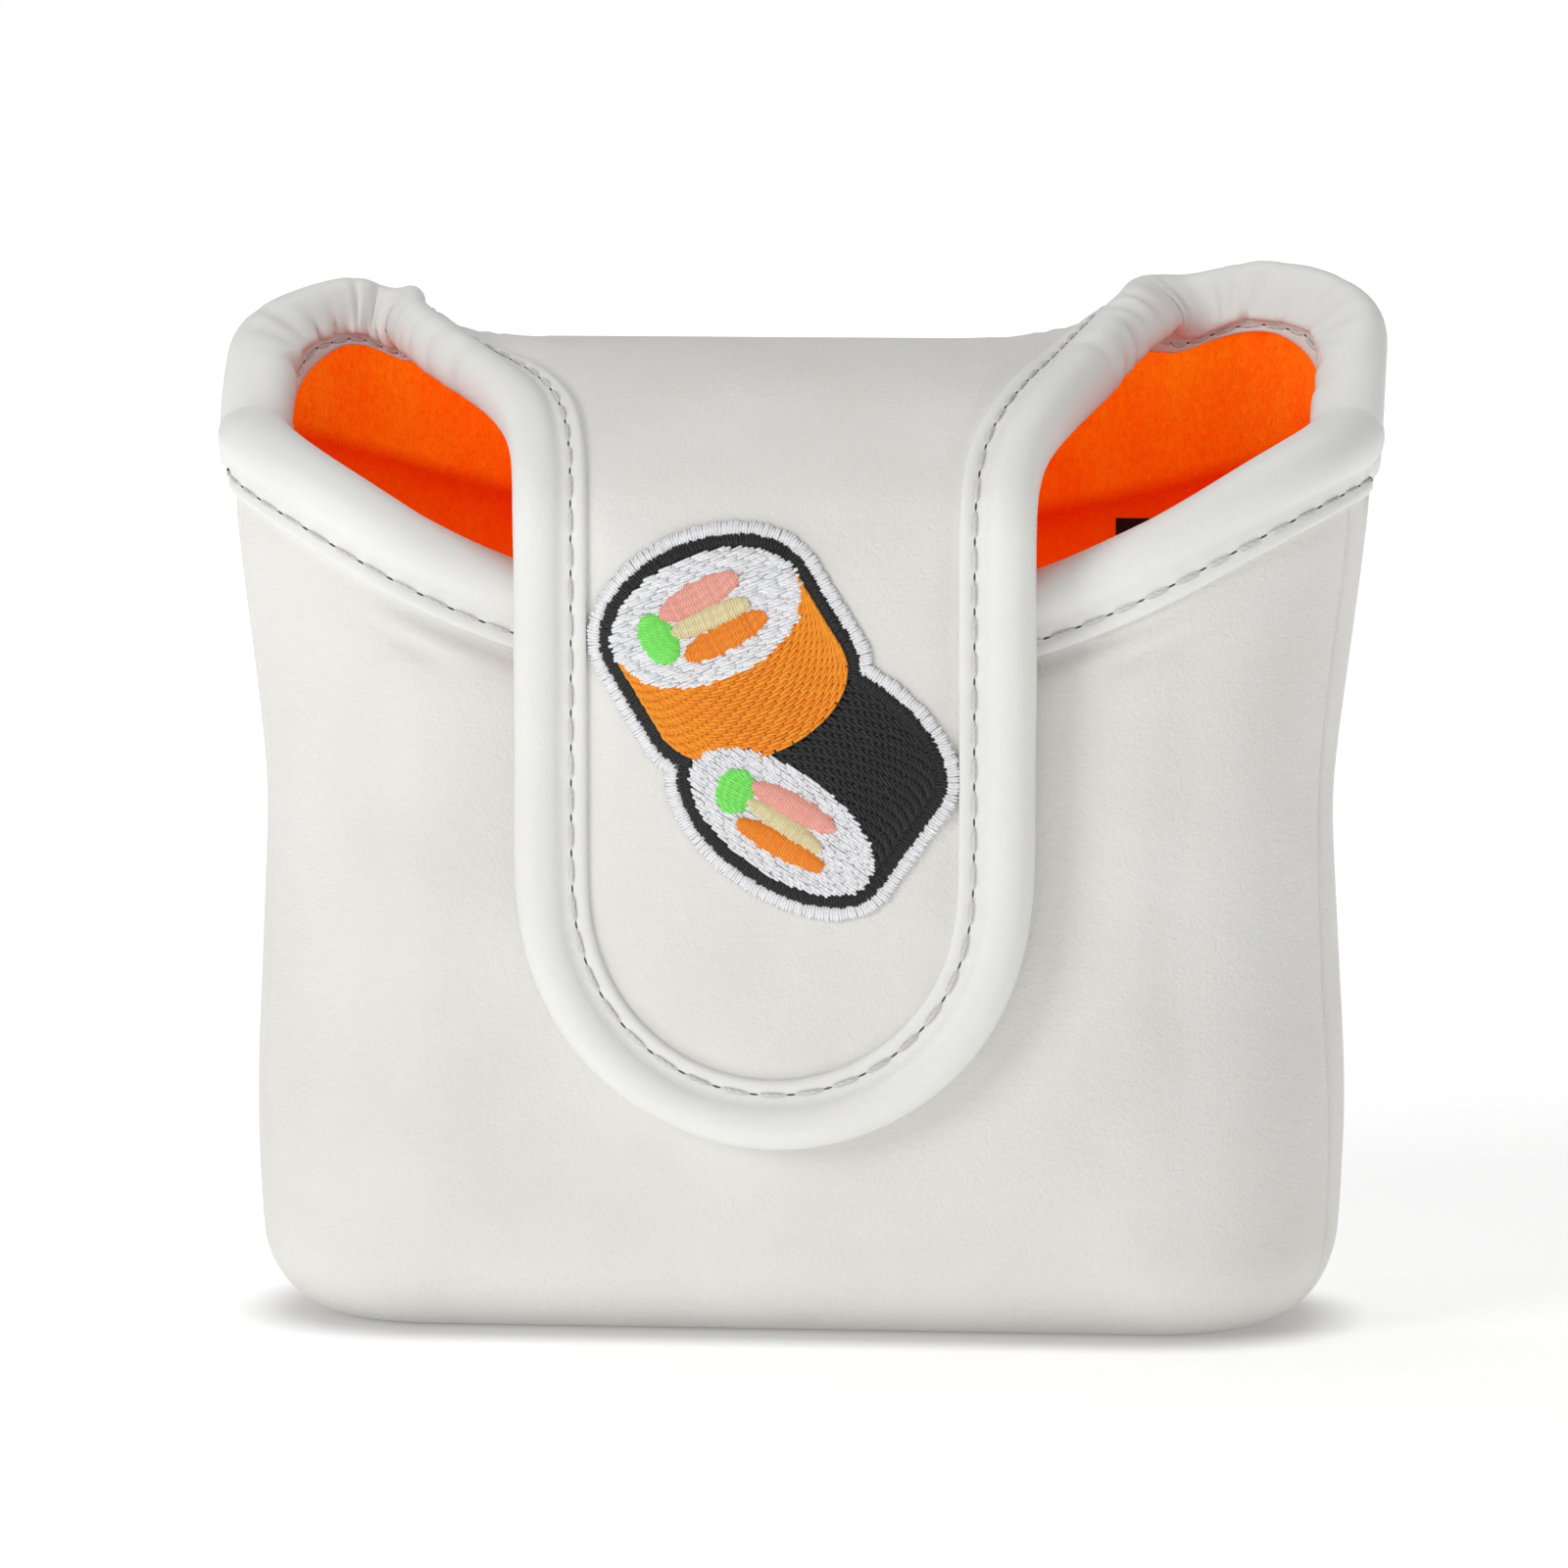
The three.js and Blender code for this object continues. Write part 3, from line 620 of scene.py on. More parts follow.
LEATHER = leather("white_leather", colour(236, 235, 230), colour(230, 228, 222), 0.075, 0.5)
TRIM = leather("trim_leather", colour(241, 241, 238), colour(237, 237, 233), 0.04, 0.47)
PLUSH_BRIGHT, PLUSH_DEEP = colour(255, 124, 10), colour(255, 90, 2)
# The last colour of each lining is painted shade for its folds and lower parts.
PLUSH = plush("plush_lining", PLUSH_BRIGHT, PLUSH_DEEP, colour(222, 26, 0))
FLAP_PLUSH = plush("flap_plush_lining", PLUSH_BRIGHT, PLUSH_DEEP, PLUSH_DEEP)
# Each thread's second colour is painted shade for the grooves of its twist.
TOPSTITCH = thread("topstitch", colour(226, 225, 220), colour(190, 188, 182), 0.55, 0.25)
HOLE_SHADE = painted_hole_shade("needle_hole")
# Each twill's second colour is painted shade between its ribs.
BLACK_TWILL = twill("twill_black", colour(34, 33, 33), colour(14, 14, 14), 0.5)
ORANGE_TWILL = twill("twill_orange", colour(250, 128, 6), colour(226, 96, 2), 0.5)
LABEL_WEAVE = twill("label_weave", colour(34, 33, 33), colour(16, 16, 16), 0.35)
WHITE_TWILL = twill("twill_white", colour(222, 221, 226), colour(196, 196, 204), 0.5)
# Second colours here are painted shade for the grooves of each twist.
STRANDS = {look: thread("embroidery_" + look, colour(*base), colour(*deep), rough, sheen)
           for look, base, deep, rough, sheen in (
               ("white", (252, 252, 254), (226, 226, 234), 0.42, 0.4),
               ("black", (34, 33, 34), (12, 12, 12), 0.5, 0.2),
               ("orange", (255, 160, 14), (252, 126, 2), 0.42, 0.3),
               ("salmon", (252, 182, 166), (236, 150, 136), 0.42, 0.3),
               ("egg", (240, 226, 178), (222, 204, 150), 0.42, 0.3),
               ("leaf", (140, 246, 112), (98, 220, 78), 0.42, 0.3),
               ("carrot", (255, 150, 30), (240, 120, 12), 0.42, 0.3))}
STEEL = hardware("magnet", colour(190, 192, 196), 1.0, 0.3, 0.9)
BOARD = hardware("board", colour(150, 146, 138), 0.0, 0.8, 1.6)


# ---------------- leather sheets

FOLD_ROW = fold_line(0.0) - BASE_SEAM
TIP_WIDTH = TIP_RADIUS + TUCK
TIP_SPAN = math.radians(78)
FLAP_END = TIP_CENTRE + TIP_WIDTH * math.sin(TIP_SPAN)


def sheet_half_width(down):
    """Half width of the flap's sheet, with the edge that is tucked into the binding."""
    straight = flap_half_width(down) + TUCK * smoothstep(0, 6, down)
    past = np.clip((down - TIP_CENTRE) / TIP_WIDTH, 0, 1)
    return np.where(down > TIP_CENTRE, TIP_WIDTH * np.sqrt(1 - past ** 2), straight)


def spine_chart(row, col):
    """The back's middle and the whole flap: rows 0 to 1 climb the back, 1 to 2 run down the flap."""
    down = np.maximum(0, row - 1) * FLAP_END
    half = np.where(row > 1, sheet_half_width(down), NECK_HALF_WIDTH)
    q = (2 * col - 1) * half
    climb = np.minimum(row, 1)
    return q, BASE_SEAM + climb * (fold_line(q) - BASE_SEAM) + down


def ear_chart(side):
    def chart(row, col):
        q = NECK_HALF_WIDTH + col * (HALF_LOOP - BACK_SEAM - NECK_HALF_WIDTH) + 0 * row
        edge = sewn_edge(HALF_LOOP - q) + TUCK * smoothstep(NECK_HALF_WIDTH, NECK_HALF_WIDTH + 6, q)
        return side * q, BASE_SEAM + row * (edge - BASE_SEAM)
    return chart


def wall_chart(start, end):
    def chart(row, col):
        along = start + col * (end - start) + 0 * row
        return along, BASE_SEAM + row * (sewn_edge(along) + TUCK - BASE_SEAM)
    return chart


SEAM_LINES = np.array([0.15, 0.4, 0.75, 1.2])


class Sheet:
    """A sheet on a chart: framed turns its places into points, seams tells which of its two
    sides turn in, and parts is how many times FOLD_ROW it is long."""

    def __init__(self, chart, framed, flip, width, seams, parts=1):
        self.chart, self.framed, self.flip = chart, framed, flip
        self.width, self.seams, self.parts = width, seams, parts
        self.coarse_rows = self.lines(2 * SPACING)
        self.coarse_cols = np.linspace(0, 1, max(4, round(width / SPACING / 2)) + 1)
        self.rows = self.lines(SPACING)
        self.cols = self.seamed(np.linspace(0, 1, round(width / SPACING) + 1))
        self.moves = None

    def lines(self, step):
        one = np.linspace(0, 1, round(FOLD_ROW / step) + 1)
        return np.concatenate([one, *(one[1:] + k for k in range(1, self.parts))])

    def seamed(self, cols):
        """Adds lines close to a turned seam, so that the leather can roll into it."""
        near = SEAM_LINES / self.width
        if self.seams[0]:
            cols = np.concatenate([[0], near, cols[cols > near[-1] * 1.3]])
        if self.seams[1]:
            cols = np.concatenate([cols[cols < 1 - near[-1] * 1.3], 1 - near[::-1], [1]])
        return cols

    def places(self, rows, cols):
        row, col = np.meshgrid(rows, cols, indexing="ij")
        return self.chart(row, col)

    def points(self, rows, cols, depth, moved=True):
        """A grid of points below the outer face, which the simulation has moved."""
        point, normal, _, _ = self.framed(*self.places(rows, cols))
        if moved and self.moves is not None:
            at_rows = np.interp(rows, self.coarse_rows, np.arange(len(self.coarse_rows)))
            at_cols = np.interp(cols, self.coarse_cols, np.arange(len(self.coarse_cols)))
            tall = cubic(self.moves, at_rows)
            point = point + cubic(tall.swapaxes(0, 1), at_cols).swapaxes(0, 1)
        return point - normal * np.asarray(depth)[..., None]


def edge_distance(sheet, rows, cols):
    """Distance over the leather from each point to its sewn edge, in millimetres."""
    u, v = sheet.places(rows, cols)
    if sheet.parts == 2:
        down = np.maximum(0, v - fold_line(u))
        side = np.where(down > 0, flap_half_width(down) - np.abs(u), 99)
        tip = TIP_RADIUS - np.hypot(u, np.maximum(0, down - TIP_CENTRE))
        return np.where(down > TIP_CENTRE, tip, side)
    along = u if sheet.framed is wall_frame else HALF_LOOP - np.abs(u)
    return sewn_edge(along) - v


SIDE_WIDTH = BACK_SEAM - FRONT_SEAM
EAR_WIDTH = HALF_LOOP - BACK_SEAM - NECK_HALF_WIDTH
SHEETS = {
    "front": Sheet(wall_chart(-FRONT_SEAM, FRONT_SEAM), wall_frame, False, 2 * FRONT_SEAM, (1, 1)),
    "gusset_right": Sheet(wall_chart(FRONT_SEAM, BACK_SEAM), wall_frame, False, SIDE_WIDTH, (1, 1)),
    "gusset_left": Sheet(wall_chart(-BACK_SEAM, -FRONT_SEAM), wall_frame, False, SIDE_WIDTH, (1, 1)),
    "spine": Sheet(spine_chart, hood_frame, True, 2 * NECK_HALF_WIDTH, (0, 0), 2),
    "ear_right": Sheet(ear_chart(1), hood_frame, True, EAR_WIDTH, (0, 1)),
    "ear_left": Sheet(ear_chart(-1), hood_frame, False, EAR_WIDTH, (0, 1)),
}

# The simulation works at ten times the real size, with moves up to about SIM_CAP millimetres
SIM_SCALE = 0.01
SIM_FRAMES = 20
SIM_CAP = 1.8
SIM_PRESSURE = 4.0
HELD_WITHIN = 1.5
INWARD_CUT = 0.85
MOVE_SMOOTHING = 2.5


def coarse_sheets():
    """All coarse sheets as one mesh with common seams: its points, its faces, the points that
    are sewn down, and where each sheet's own points are."""
    points, faces, held, count = [], [], [], 0
    for sheet in SHEETS.values():
        grid = sheet.points(sheet.coarse_rows, sheet.coarse_cols, 0.0)
        near = edge_distance(sheet, sheet.coarse_rows, sheet.coarse_cols) < HELD_WITHIN
        near[0] = True
        faces.append(turned(grid_faces(*near.shape, count), sheet.flip))
        points.append(grid.reshape(-1, 3))
        held.append(near.ravel())
        count += near.size
    points, faces, held = np.concatenate(points), np.concatenate(faces), np.concatenate(held)
    _, first, where = np.unique(np.round(points, 2), axis=0, return_index=True, return_inverse=True)
    where = where.ravel()
    return points[first], where[faces], np.unique(where[held]), where


def swell(points, faces, held):
    """The moves of a mesh that is blown up as cloth, with some of its points held."""
    mesh = bpy.data.meshes.new("cloth")
    mesh.from_pydata((points * SIM_SCALE).tolist(), [], faces.tolist())
    mesh.validate()
    obj = linked("cloth", mesh)
    obj.vertex_groups.new(name="held").add(held.tolist(), 1.0, "REPLACE")
    cloth = obj.modifiers.new("cloth", "CLOTH")
    for key, value in (("vertex_group_mass", "held"), ("quality", 5), ("tension_stiffness", 12),
                       ("compression_stiffness", 12), ("shear_stiffness", 5),
                       ("bending_stiffness", 0.6), ("use_pressure", True),
                       ("uniform_pressure_force", SIM_PRESSURE)):
        setattr(cloth.settings, key, value)
    cloth.settings.effector_weights.gravity = 0
    cloth.collision_settings.use_collision = False
    cloth.collision_settings.use_self_collision = False
    for step in range(1, SIM_FRAMES + 1):
        scene.frame_set(step)
    view = obj.evaluated_get(bpy.context.evaluated_depsgraph_get())
    moves = np.array([v.co for v in view.data.vertices], float) / SIM_SCALE - points
    bpy.data.objects.remove(obj)
    scene.frame_set(1)
    return moves


def puff():
    """Swells all the leather at once, held at its sewn edges and base seam. Moves are capped,
    inward ones are mostly cut, and all but those at the sewn edge are evened from row to row."""
    points, faces, held, where = coarse_sheets()
    moves = swell(points, faces, held)
    size = np.linalg.norm(moves, axis=1, keepdims=True)
    moves = (moves * SIM_CAP * np.tanh(size / SIM_CAP) / np.maximum(size, 1e-6))[where]
    for sheet in SHEETS.values():
        _, normal, _, _ = sheet.framed(*sheet.places(sheet.coarse_rows, sheet.coarse_cols))
        count = normal[..., 0].size
        own, moves = moves[:count].reshape(normal.shape), moves[count:]
        own = own - normal * np.minimum(0, dots(own, normal))[..., None] * INWARD_CUT
        even = 1 - smoothstep(0.8, 0.95, sheet.coarse_rows)[:, None, None]
        sheet.moves = own + (smooth_rows(own, MOVE_SMOOTHING) - own) * even


puff()


STITCH_DIP = 0.3
DIP_REACH = 1.6


def rolled(sheet, cols):
    """How deep the leather turns in at its side seams."""
    depth = np.zeros(len(cols))
    for end, seam in zip((0, 1), sheet.seams):
        if seam:
            inside = SEAM_ROLL - np.minimum(SEAM_ROLL, np.abs(cols - end) * sheet.width)
            depth += SEAM_ROLL - np.sqrt(SEAM_ROLL ** 2 - inside ** 2)
    return depth


def leather_grid(sheet):
    """The outer face, pulled down a little beside the stitching and rolled into its seams."""
    near = np.maximum(0, edge_distance(sheet, sheet.rows, sheet.cols))
    depth = STITCH_DIP * np.exp(-(near / DIP_REACH) ** 2) + rolled(sheet, sheet.cols)
    return sheet.points(sheet.rows, sheet.cols, depth)


def sheet_object(name, grid, flip, material):
    faces = turned(grid_faces(*grid.shape[:2]), flip)
    return make_object(name, grid.reshape(-1, 3), faces, material)


def set_normals(obj, chosen):
    """Gives some points a fixed shading normal, so that two pieces meet without a line."""
    values = np.zeros((len(obj.data.vertices), 3))
    for index, normal in chosen:
        values[index] = normal
    obj.data.normals_split_custom_set_from_vertices([tuple(v) for v in values])


def bend(obj, first, second, ends):
    start, end = [(0, y * MM, z * MM) for y, z in ends]
    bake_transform(obj)


def settle(obj, moves, slot, *nodes):
    """What a piece moves with, its material slot, which is not used, and the CAD nodes that it stands
    for.
    On the back fold or the front fold it stays as built, unbent; otherwise it rides on one body."""
    if moves == "back_fold":
        bend(obj, "pouch", "bridge", BEND_BACK)
    elif moves == "front_fold":
        bend(obj, "bridge", "tongue", BEND_FRONT)
    else:
        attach(obj, moves)
    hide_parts(*nodes)


def split_row():
    """The row of the flap's sheet where it passes SPLIT_Y and moves with the bridge alone."""
    down = np.linspace(0, ARCH_LENGTH / 2, 200)
    split = np.interp(-SPLIT_Y, -flap(0 * down, down)[:, 1], down)
    return int(np.argmin(np.abs(SHEETS["spine"].rows - 1 - split / FLAP_END)))


def spine_objects(names, grid, flip, materials, joined=()):
    """The back's middle and the flap as two pieces, cut where they move with the bridge alone.
    joined holds more shading normals for the first piece."""
    cut, cols = split_row(), grid.shape[1]
    line = grid_normals(grid[cut - 1:cut + 2])[1] * (-1 if flip else 1)
    parts = grid[:cut + 1], grid[cut:]
    back, front = [sheet_object(*args) for args in zip(names, parts, (flip, flip), materials)]
    set_normals(back, [*joined, *((cut * cols + c, normal) for c, normal in enumerate(line))])
    set_normals(front, enumerate(line))
    return back, front


def build_back_leather():
    """The back, the flap and the ears. Where an ear meets the back's middle they share normals."""
    grid = leather_grid(SHEETS["spine"])
    cols = grid.shape[1]
    facing = -grid_normals(grid)
    ears, joined = [], []
    for name, col, side in (("ear_right", cols - 1, -1), ("ear_left", 0, 1)):
        ear = leather_grid(SHEETS[name])
        shared = unit(facing[:len(ear), col] + side * grid_normals(ear)[:, 0])
        joined += [(row * cols + col, normal) for row, normal in enumerate(shared)]
        ears.append((name, ear, [(row * ear.shape[1], normal) for row, normal in enumerate(shared)]))
    back, front = spine_objects(("back_leather", "flap_leather"), grid, True, (LEATHER, LEATHER), joined)
    for name, ear, chosen in ears:
        piece = sheet_object(name + "_leather", ear, SHEETS[name].flip, LEATHER)
        set_normals(piece, chosen)
        settle(piece, "pouch", "white_leather")
    settle(back, "back_fold", "white_leather", "back_panel", "back_foam", "bridge_panel", "bridge_foam")
    settle(front, "front_fold", "white_leather", "tongue_panel", "tongue_foam")


build_back_leather()
for part, nodes in (("front", ("front_panel", "front_foam")), ("gusset_right", ("gusset_right",)),
                    ("gusset_left", ("gusset_left",))):
    piece = sheet_object(part + "_leather", leather_grid(SHEETS[part]), False, LEATHER)
    settle(piece, "pouch", "white_leather", *nodes)


def base_disk(name, height, inset, material, crown):
    """A flat bottom sheet with the pouch's rounded corners, crowned a little in its middle."""
    along = np.linspace(-HALF_LOOP, HALF_LOOP, 145)[:-1]
    x, y, nx, ny = outline(along)
    rim = np.stack([x - inset * nx, y - inset * ny], -1)
    shares = np.concatenate([np.linspace(0, 0.94, 16), [0.975, 0.99, 1.0]])
    rings = rim[None] * shares[:, None, None]
    roll = SEAM_ROLL * np.maximum(0, (shares - 0.955) / 0.045) ** 2
    lift = height + roll + crown * (1 - shares ** 2)
    z = np.repeat(lift[:, None], len(along), 1)
    points = np.concatenate([rings, z[..., None]], -1).reshape(-1, 3)
    count = len(along)
    wrap = np.arange(len(shares) - 1)[:, None] * count + [count - 1, 0, count, 2 * count - 1]
    faces = np.concatenate([grid_faces(len(shares), count), wrap])
    obj = make_object(name, points, faces, material)
    weld(obj)
    return obj


base = base_disk("base_leather", 0.0, BASE_ROUND + SEAM_GAP / 2, LEATHER, 0.25)
settle(base, "pouch", "white_leather", "base_panel")


# ---------------- plush lining

def soft_noise(points, size, seed):
    """Smooth, repeatable unevenness: a few waves of one wavelength in mixed directions."""
    own = np.random.default_rng(seed)
    total = np.zeros(points.shape[:-1])
    for _ in range(7):
        direction = unit(own.normal(size=3)) * (2 * math.pi / size) * own.uniform(0.7, 1.4)
        total += np.sin(points @ direction + own.uniform(0, 6.28))
    return total / 7


def lining_grid(sheet, stack):
    """The pile's face, inside the stack: softly uneven, with a fold across the back's lining."""
    rows, cols = sheet.rows, sheet.cols
    u, v = sheet.places(rows, cols)
    flat = sheet.points(rows, cols, stack - LINING_THICK, moved=False)
    depth = stack - LINING_THICK + 0.35 * soft_noise(flat, 14, 3) + 0.12 * soft_noise(flat, 3.1, 5)
    q = u if sheet.framed is hood_frame else HALF_LOOP - np.abs(u)
    over = v - CREASE_LOW - CREASE_RISE * (q / HALF_WIDTH) ** 2
    on_back = 1 - smoothstep(0, 4, v - fold_line(q))
    on_back *= 1 - smoothstep(SIDE_MID - 12, SIDE_MID, np.abs(q))
    fold = smoothstep(-0.9, 0.9, over) * np.exp(-np.maximum(0, over) / CREASE_FADE)
    near = np.maximum(0, edge_distance(sheet, rows, cols))
    depth = depth + CREASE_DEPTH * on_back * fold + 0.7 * smoothstep(0, 5, near)
    return sheet.points(rows, cols, depth, moved=False)


def build_linings():
    spine = SHEETS["spine"]
    on_flap = smoothstep(0.94, 1.06, spine.rows)[:, None]
    grid = lining_grid(spine, WALL_STACK + (FLAP_STACK - WALL_STACK) * on_flap)
    back, front = spine_objects(("back_plush", "flap_plush"), grid, False, (PLUSH, FLAP_PLUSH))
    settle(back, "back_fold", "plush_lining", "back_lining", "bridge_lining")
    settle(front, "front_fold", "plush_lining", "tongue_lining")
    for name, nodes in (("front", ["front_lining"]), ("gusset_right", ["side_lining_right"]),
                        ("gusset_left", ["side_lining_left"]), ("ear_right", []), ("ear_left", [])):
        sheet = SHEETS[name]
        piece = sheet_object(name + "_plush", lining_grid(sheet, WALL_STACK), not sheet.flip, PLUSH)
        settle(piece, "pouch", "plush_lining", *nodes)
    base_lining = base_disk("base_plush", WALL_STACK, BASE_ROUND - 3, PLUSH, 0.8)
    settle(base_lining, "pouch", "plush_lining", "base_lining")


build_linings()


# ---------------- padded bindings

ROLL_POWER = 2.2
ROLL_FROM = 2.2
ROLL_COUNT = 30
# The flat strip between the edge and the roll: out and height, with a groove for the stitches
STRIP = np.array([(-0.05, -0.5), (0.0, -0.1), (0.03, 0.3), (0.2, 0.54), (0.55, STRIP_HEIGHT),
                  (1.1, 0.58), (1.45, 0.44), (STITCH_OUT, 0.3), (2.05, 0.34), (2.4, 0.44)])
GROOVE = 0.5


def band_profile(stack, width, proud):
    """Out and depth of each point round a binding: strip, roll, strip, for every station."""
    stack, width, proud = stack[:, None], width[:, None], proud[:, None]
    half = stack / 2 + proud
    start = np.arcsin(((stack / 2 + GROOVE) / half) ** (ROLL_POWER / 2))
    theta = start + (2 * math.pi - 2 * start) * np.linspace(0, 1, ROLL_COUNT)
    middle, reach = (width + ROLL_FROM) / 2, (width - ROLL_FROM) / 2
    roll_out = middle - reach * signed_power(np.cos(theta), 2 / ROLL_POWER)
    roll_depth = stack / 2 - half * signed_power(np.sin(theta), 2 / ROLL_POWER)
    strip_out = STRIP[:, 0] + 0 * stack
    strip_depth = -STRIP[:, 1] + 0 * stack
    out = np.concatenate([strip_out, roll_out, strip_out[:, ::-1]], 1)
    depth = np.concatenate([strip_depth, roll_depth, stack - strip_depth[:, ::-1]], 1)
    turn = np.concatenate([0 * strip_out, theta, 0 * strip_out], 1)
    return out, depth, turn


def dents(at, turn, spots):
    """Soft pinched folds across a roll: each spot is (place, width, facing, depth)."""
    total = np.zeros(turn.shape)
    for place, width, facing, deep in spots:
        along = np.exp(-np.abs((at - place) / width) ** 1.5)[:, None]
        total += deep * along * np.exp(-((turn - facing) / 0.9) ** 2) * (turn > 0)
    return total


def band_grid(edge, stack, width, spots=()):
    """A binding's surface, with rounded, narrower ends, an uneven thickness and pinched folds."""
    at = edge.at
    near_end = np.minimum(1, np.minimum(at, edge.length - at) / 1.8)
    squeeze = 0.55 + 0.45 * np.sqrt(1 - (1 - near_end) ** 2)
    out, depth, turn = band_profile(stack, width * (0.85 + 0.15 * squeeze), BAND_PROUD * squeeze)
    wobble = 0.06 * np.sin(at / 7.3) + 0.048 * np.sin(at / 3.1 + 1)
    pull = (dents(at, turn, spots) + wobble[:, None] * (turn > 0)) / 4
    middle = (width + ROLL_FROM)[:, None] / 2
    out = out + (middle - out) * pull * (turn > 0)
    depth = depth + (stack[:, None] / 2 - depth) * pull
    return np.stack([edge.points(*column) for column in zip(out.T, depth.T)], 1)


def crumple(start, end, gap, seed, facing=(3.2, 4.6), deep=(0.8, 1.6)):
    """Pinched folds at uneven gaps along a stretch of a binding."""
    own = np.random.default_rng(seed)
    place, spots = start, []
    while place < end:
        spots.append((place, own.uniform(0.7, 1.3), own.uniform(*facing), own.uniform(*deep)))
        place += gap * own.uniform(0.6, 1.4)
    return spots


# ---------------- stitches

def tubes(name, centre, up, radius, material, sides, seed):
    """Many short threads in one mesh: centre is strands x stations, up is the way off the cloth."""
    strands, stations = centre.shape[:2]
    tangent = unit(np.gradient(centre, axis=1))
    side = unit(np.cross(tangent, up))
    lift = np.cross(side, tangent)
    angle = np.linspace(0, 2 * math.pi, sides, endpoint=False)
    ring = np.cos(angle)[:, None] * side[:, :, None] + np.sin(angle)[:, None] * lift[:, :, None]
    points = centre[:, :, None] + ring * np.broadcast_to(radius, (strands, stations))[:, :, None, None]
    steps = np.linalg.norm(np.diff(centre, axis=1), axis=2)
    length = np.cumsum(np.concatenate([np.zeros((strands, 1)), steps], 1), 1)
    own = np.random.default_rng(seed).uniform(-0.3, 0.3, strands)
    strand = np.broadcast_arrays(length[:, :, None], angle, own[:, None, None])
    s, t, k = np.meshgrid(*(np.arange(n) for n in (strands, stations - 1, sides)), indexing="ij")
    here = (s * stations + t) * sides
    after = here + (k + 1) % sides
    faces = np.stack([here + k + sides, after + sides, after, here + k], -1)
    return make_object(name, points.reshape(-1, 3), faces.reshape(-1, 4), material,
                       strand=np.stack(strand, -1))


def sewn_points(edge, at, out, depth):
    """Points and outward normals on a seam line, at distances along the edge."""
    place = read_rows(at, edge.at, edge.places) + read_rows(at, edge.at, edge.steps) * out
    point, normal, _, _ = edge.framed(place[..., 0], place[..., 1])
    return point - normal * depth[..., None], normal


HOLE_HALF = 0.55
HOLE_DEPTH = 0.2
HOLE_SHARE = np.array([-1.0, -0.7, -0.25, 0.25, 0.7, 1.0])
HOLE_RADIUS = np.array([0.02, 0.13, 0.19, 0.19, 0.13, 0.02])
THREAD_RADIUS = 0.24
THREAD_SHARE = np.array([0.0, 0.06, 0.2, 0.4, 0.6, 0.8, 0.94, 1.0])
THREAD_HEIGHT = np.array([-0.41, 0.24, 0.5, 0.54, 0.54, 0.5, 0.24, -0.41])


def seam(name, edge, start, end, stack, inner):
    """A line of stitches and the needle holes between them, on the outer or the inner face."""
    ends = np.linspace(start, end, max(1, int(round((end - start) / STITCH_PITCH))) + 1)[:, None]
    stitch = ends[1] - ends[0] - 1.6 * HOLE_HALF
    made = []
    for part, at, height, radius, material, sides in (
            ("_stitches", ends[:-1] + HOLE_HALF * 0.8 + THREAD_SHARE * stitch, THREAD_HEIGHT,
             THREAD_RADIUS, TOPSTITCH, 6),
            # The holes are dark bodies of painted shade.
            ("_holes", ends + HOLE_SHARE * HOLE_HALF * 1.25, HOLE_DEPTH, HOLE_RADIUS, HOLE_SHADE, 8)):
        depth = np.interp(at, edge.at, stack) + height if inner else 0 * at - height
        centre, normal = sewn_points(edge, at, STITCH_OUT, depth)
        up = -normal if inner else normal
        made.append(tubes(name + part, centre, up, radius, material, sides, 1))
    return made


SEAM_MARGIN = 1.5


def sew_band(name, edge, grid, first, end, stack, moves, outward):
    """A run of a binding from station first to station end, with its stitches on both faces.
    Where it meets the next run, both take the whole binding's normals."""
    last = len(edge.at) - 1
    band = sheet_object(name + "_binding_leather", grid[first:end + 1], outward, TRIM)
    met = [row for row in (first, end) if 0 < row < last]
    if met:
        normals = -grid_normals(grid)
        set_normals(band, [((row - first) * grid.shape[1] + col, normal)
                           for row in met for col, normal in enumerate(normals[row])])
    start_at = edge.at[first] + (SEAM_MARGIN if first == 0 else 0)
    end_at = edge.at[end] - (SEAM_MARGIN if end == last else 0)
    stitches, *others = [*seam(name, edge, start_at, end_at, stack, False),
                         *seam(name + "_inner", edge, start_at, end_at, stack, True)]
    settle(band, moves, "trim_leather", name + "_binding", name + "_filler")
    settle(stitches, moves, "topstitch", name + "_thread")
    for part in others:
        settle(part, moves, "topstitch")


def build_mouth_band():
    edge = Edge(mouth_line(), wall, wall_frame)
    stack = np.full(len(edge.at), WALL_STACK)
    grid = band_grid(edge, stack, np.full(len(edge.at), WALL_BAND))
    sew_band("mouth", edge, grid, 0, len(edge.at) - 1, stack, "pouch", False)


